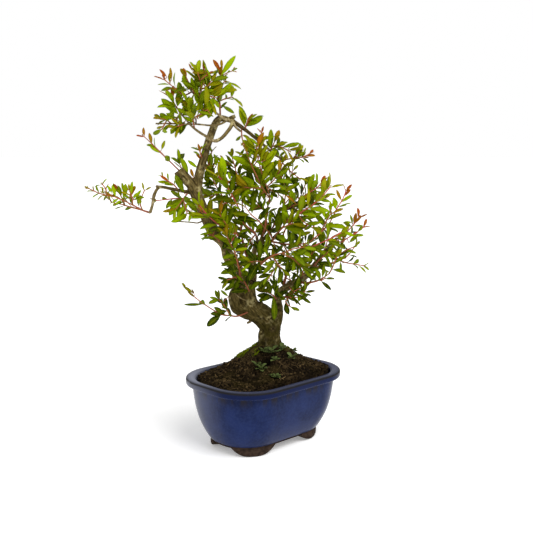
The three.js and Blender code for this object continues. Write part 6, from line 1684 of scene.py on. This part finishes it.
# small weeds: rosettes of short broad leaves, each a fixed turn on from the last and more upright
def makeWeeds(materials):
    shape = weedShape
    leaves = []
    for number, (across, away, height, reach, count) in enumerate(weeds):
        foot = np.array([across, away, moundHeight(fromFront((across, away, 0)))])
        for step in range(count):
            turn = shape["turn"] * step + number
            tilt = np.radians(mix(*shape["tilt"], step / count))
            along = np.array([np.cos(turn) * np.cos(tilt), np.sin(turn) * np.cos(tilt), np.sin(tilt)])
            leaves.append(newLeaf(
                foot + (0, 0, shape["rise"] * height * step / count), along, np.array([0, 0, 1.0]),
                length=reach * mix(*shape["lengths"], chance(number, step, 71)), width=shape["width"],
                droop=shape["droop"], seed=chance(number, step, 72), young=0,
                tone=shape["tone"] * chance(number, step, 73)))
    return meshOf("smallWeeds", [bladeSkins(leaves)], materials)


earthLook = dict(
    crumbs=(240, 0.35, 0.65, 6), green=((32, 0.5, 0.66, 4), 0.55, seen(56, 48, 20)),
    # the hollow's mark paints shade into the hollow at the trunk's foot, nearly black
    fields=((60, 0.4, 0.6, 5), 0.6, seen(15, 11, 7)), pit=("pit", 0.95, seen(6, 5, 3)),
    grain=(420, 0.9, 0.004), roughness=0.95)
softLook = dict(patches=(90, 0.35, 0.65, 3), patchShare=0.4, toneShare=0.7)


def makeEarth(name, wet, dry, pale):
    look = earthLook
    material, tree = newMaterial(name, wet)
    place = placeOn(tree)
    colour = layers(
        tree, place, wet, (look["crumbs"], 1, dry), look["green"], look["fields"], ("tone", 1, pale),
        look["pit"])
    return dress(material, colour, look["roughness"], Normal=useGrain(tree, place, *look["grain"]))


def makeSoft(name, low, high, roughness):
    look = softLook
    material, tree = newMaterial(name, high)
    tone = times(tree, markOf(tree, "tone"), look["toneShare"])
    patches = useMottle(tree, placeOn(tree), *look["patches"])
    share = times(tree, patches, look["patchShare"], tone, clamp=True)
    return dress(material, blend(tree, share, low, high), roughness)


earthMaterial = makeEarth("Earth", seen(10, 7, 4), seen(57, 45, 28), seen(140, 116, 78))
mossMaterial = makeSoft("Moss", seen(62, 70, 10), seen(136, 150, 16), 0.8)
weedMaterial = makeSoft("Weed", seen(68, 80, 44), seen(112, 126, 70), 0.6)
for makePiece in (makeSoil, makeGrains, makeLitter):
    ridesAs(makePiece([earthMaterial]), "soil", "soil")
ridesAs(makeMoss([mossMaterial]), "foliage", "soil")
ridesAs(makeWeeds([weedMaterial]), "foliage", "soil")
print("soil made")


# Light, floor and camera. A sun has a place to shine from, a power and an angle.
stage = dict(
    sky=0.45, backdrop=1.0, floorColour=seen(252, 252, 252), floorSize=80, floorGlow=0.3,
    floorRoughness=0.9, pitch=7.9, lens=54.84, sensor=36,
    suns=(("key", (500, -520, 900), 2.25, 45), ("fill", (-900, -500, 420), 0.6, 70)))
scene = bpy.context.scene
scene.view_settings.view_transform = "Standard"
world = bpy.data.worlds.new("studio")
scene.world = world
world.use_nodes = True
worldTree = world.node_tree
backdrop = worldTree.nodes["Background"]
backdrop.inputs["Color"].default_value = (1, 1, 1, 1)
direct = addNode(worldTree, "LightPath").outputs["Is Camera Ray"]
feed(worldTree, backdrop.inputs["Strength"],
     times(worldTree, direct, stage["backdrop"] - stage["sky"], stage["sky"]))

colour = stage["floorColour"]
glow = {"Emission Color": colour, "Emission Strength": stage["floorGlow"]}
floorMaterial = dress(newMaterial("Floor", colour)[0], colour, stage["floorRoughness"], **glow)
floorMesh = bpy.data.meshes.new("floor")
reach = stage["floorSize"]
floorMesh.from_pydata([(-reach, -reach, 0), (reach, -reach, 0), (reach, reach, 0), (-reach, reach, 0)],
                      [], [(0, 1, 2, 3)])
floorMesh.materials.append(floorMaterial)
floor = bpy.data.objects.new("floor", floorMesh)
scene.collection.objects.link(floor)

for name, source, power, angle in stage["suns"]:
    sun = bpy.data.lights.new(name, "SUN")
    sun.energy = power
    sun.angle = np.radians(angle)
    lamp = bpy.data.objects.new(name, sun)
    away = unit(fromFront(source))
    lamp.location = away
    lamp.rotation_euler = (np.arccos(away[2]), 0, np.arctan2(away[0], -away[1]))
    scene.collection.objects.link(lamp)
camera = bpy.data.objects.new("camera", bpy.data.cameras.new("camera"))
camera.location = (fromFront(eye) + potCentre) * mm
camera.rotation_euler = (np.radians(90 - stage["pitch"]), 0, frontTurn)
camera.data.lens = stage["lens"]
camera.data.sensor_width = stage["sensor"]
scene.collection.objects.link(camera)
scene.camera = camera
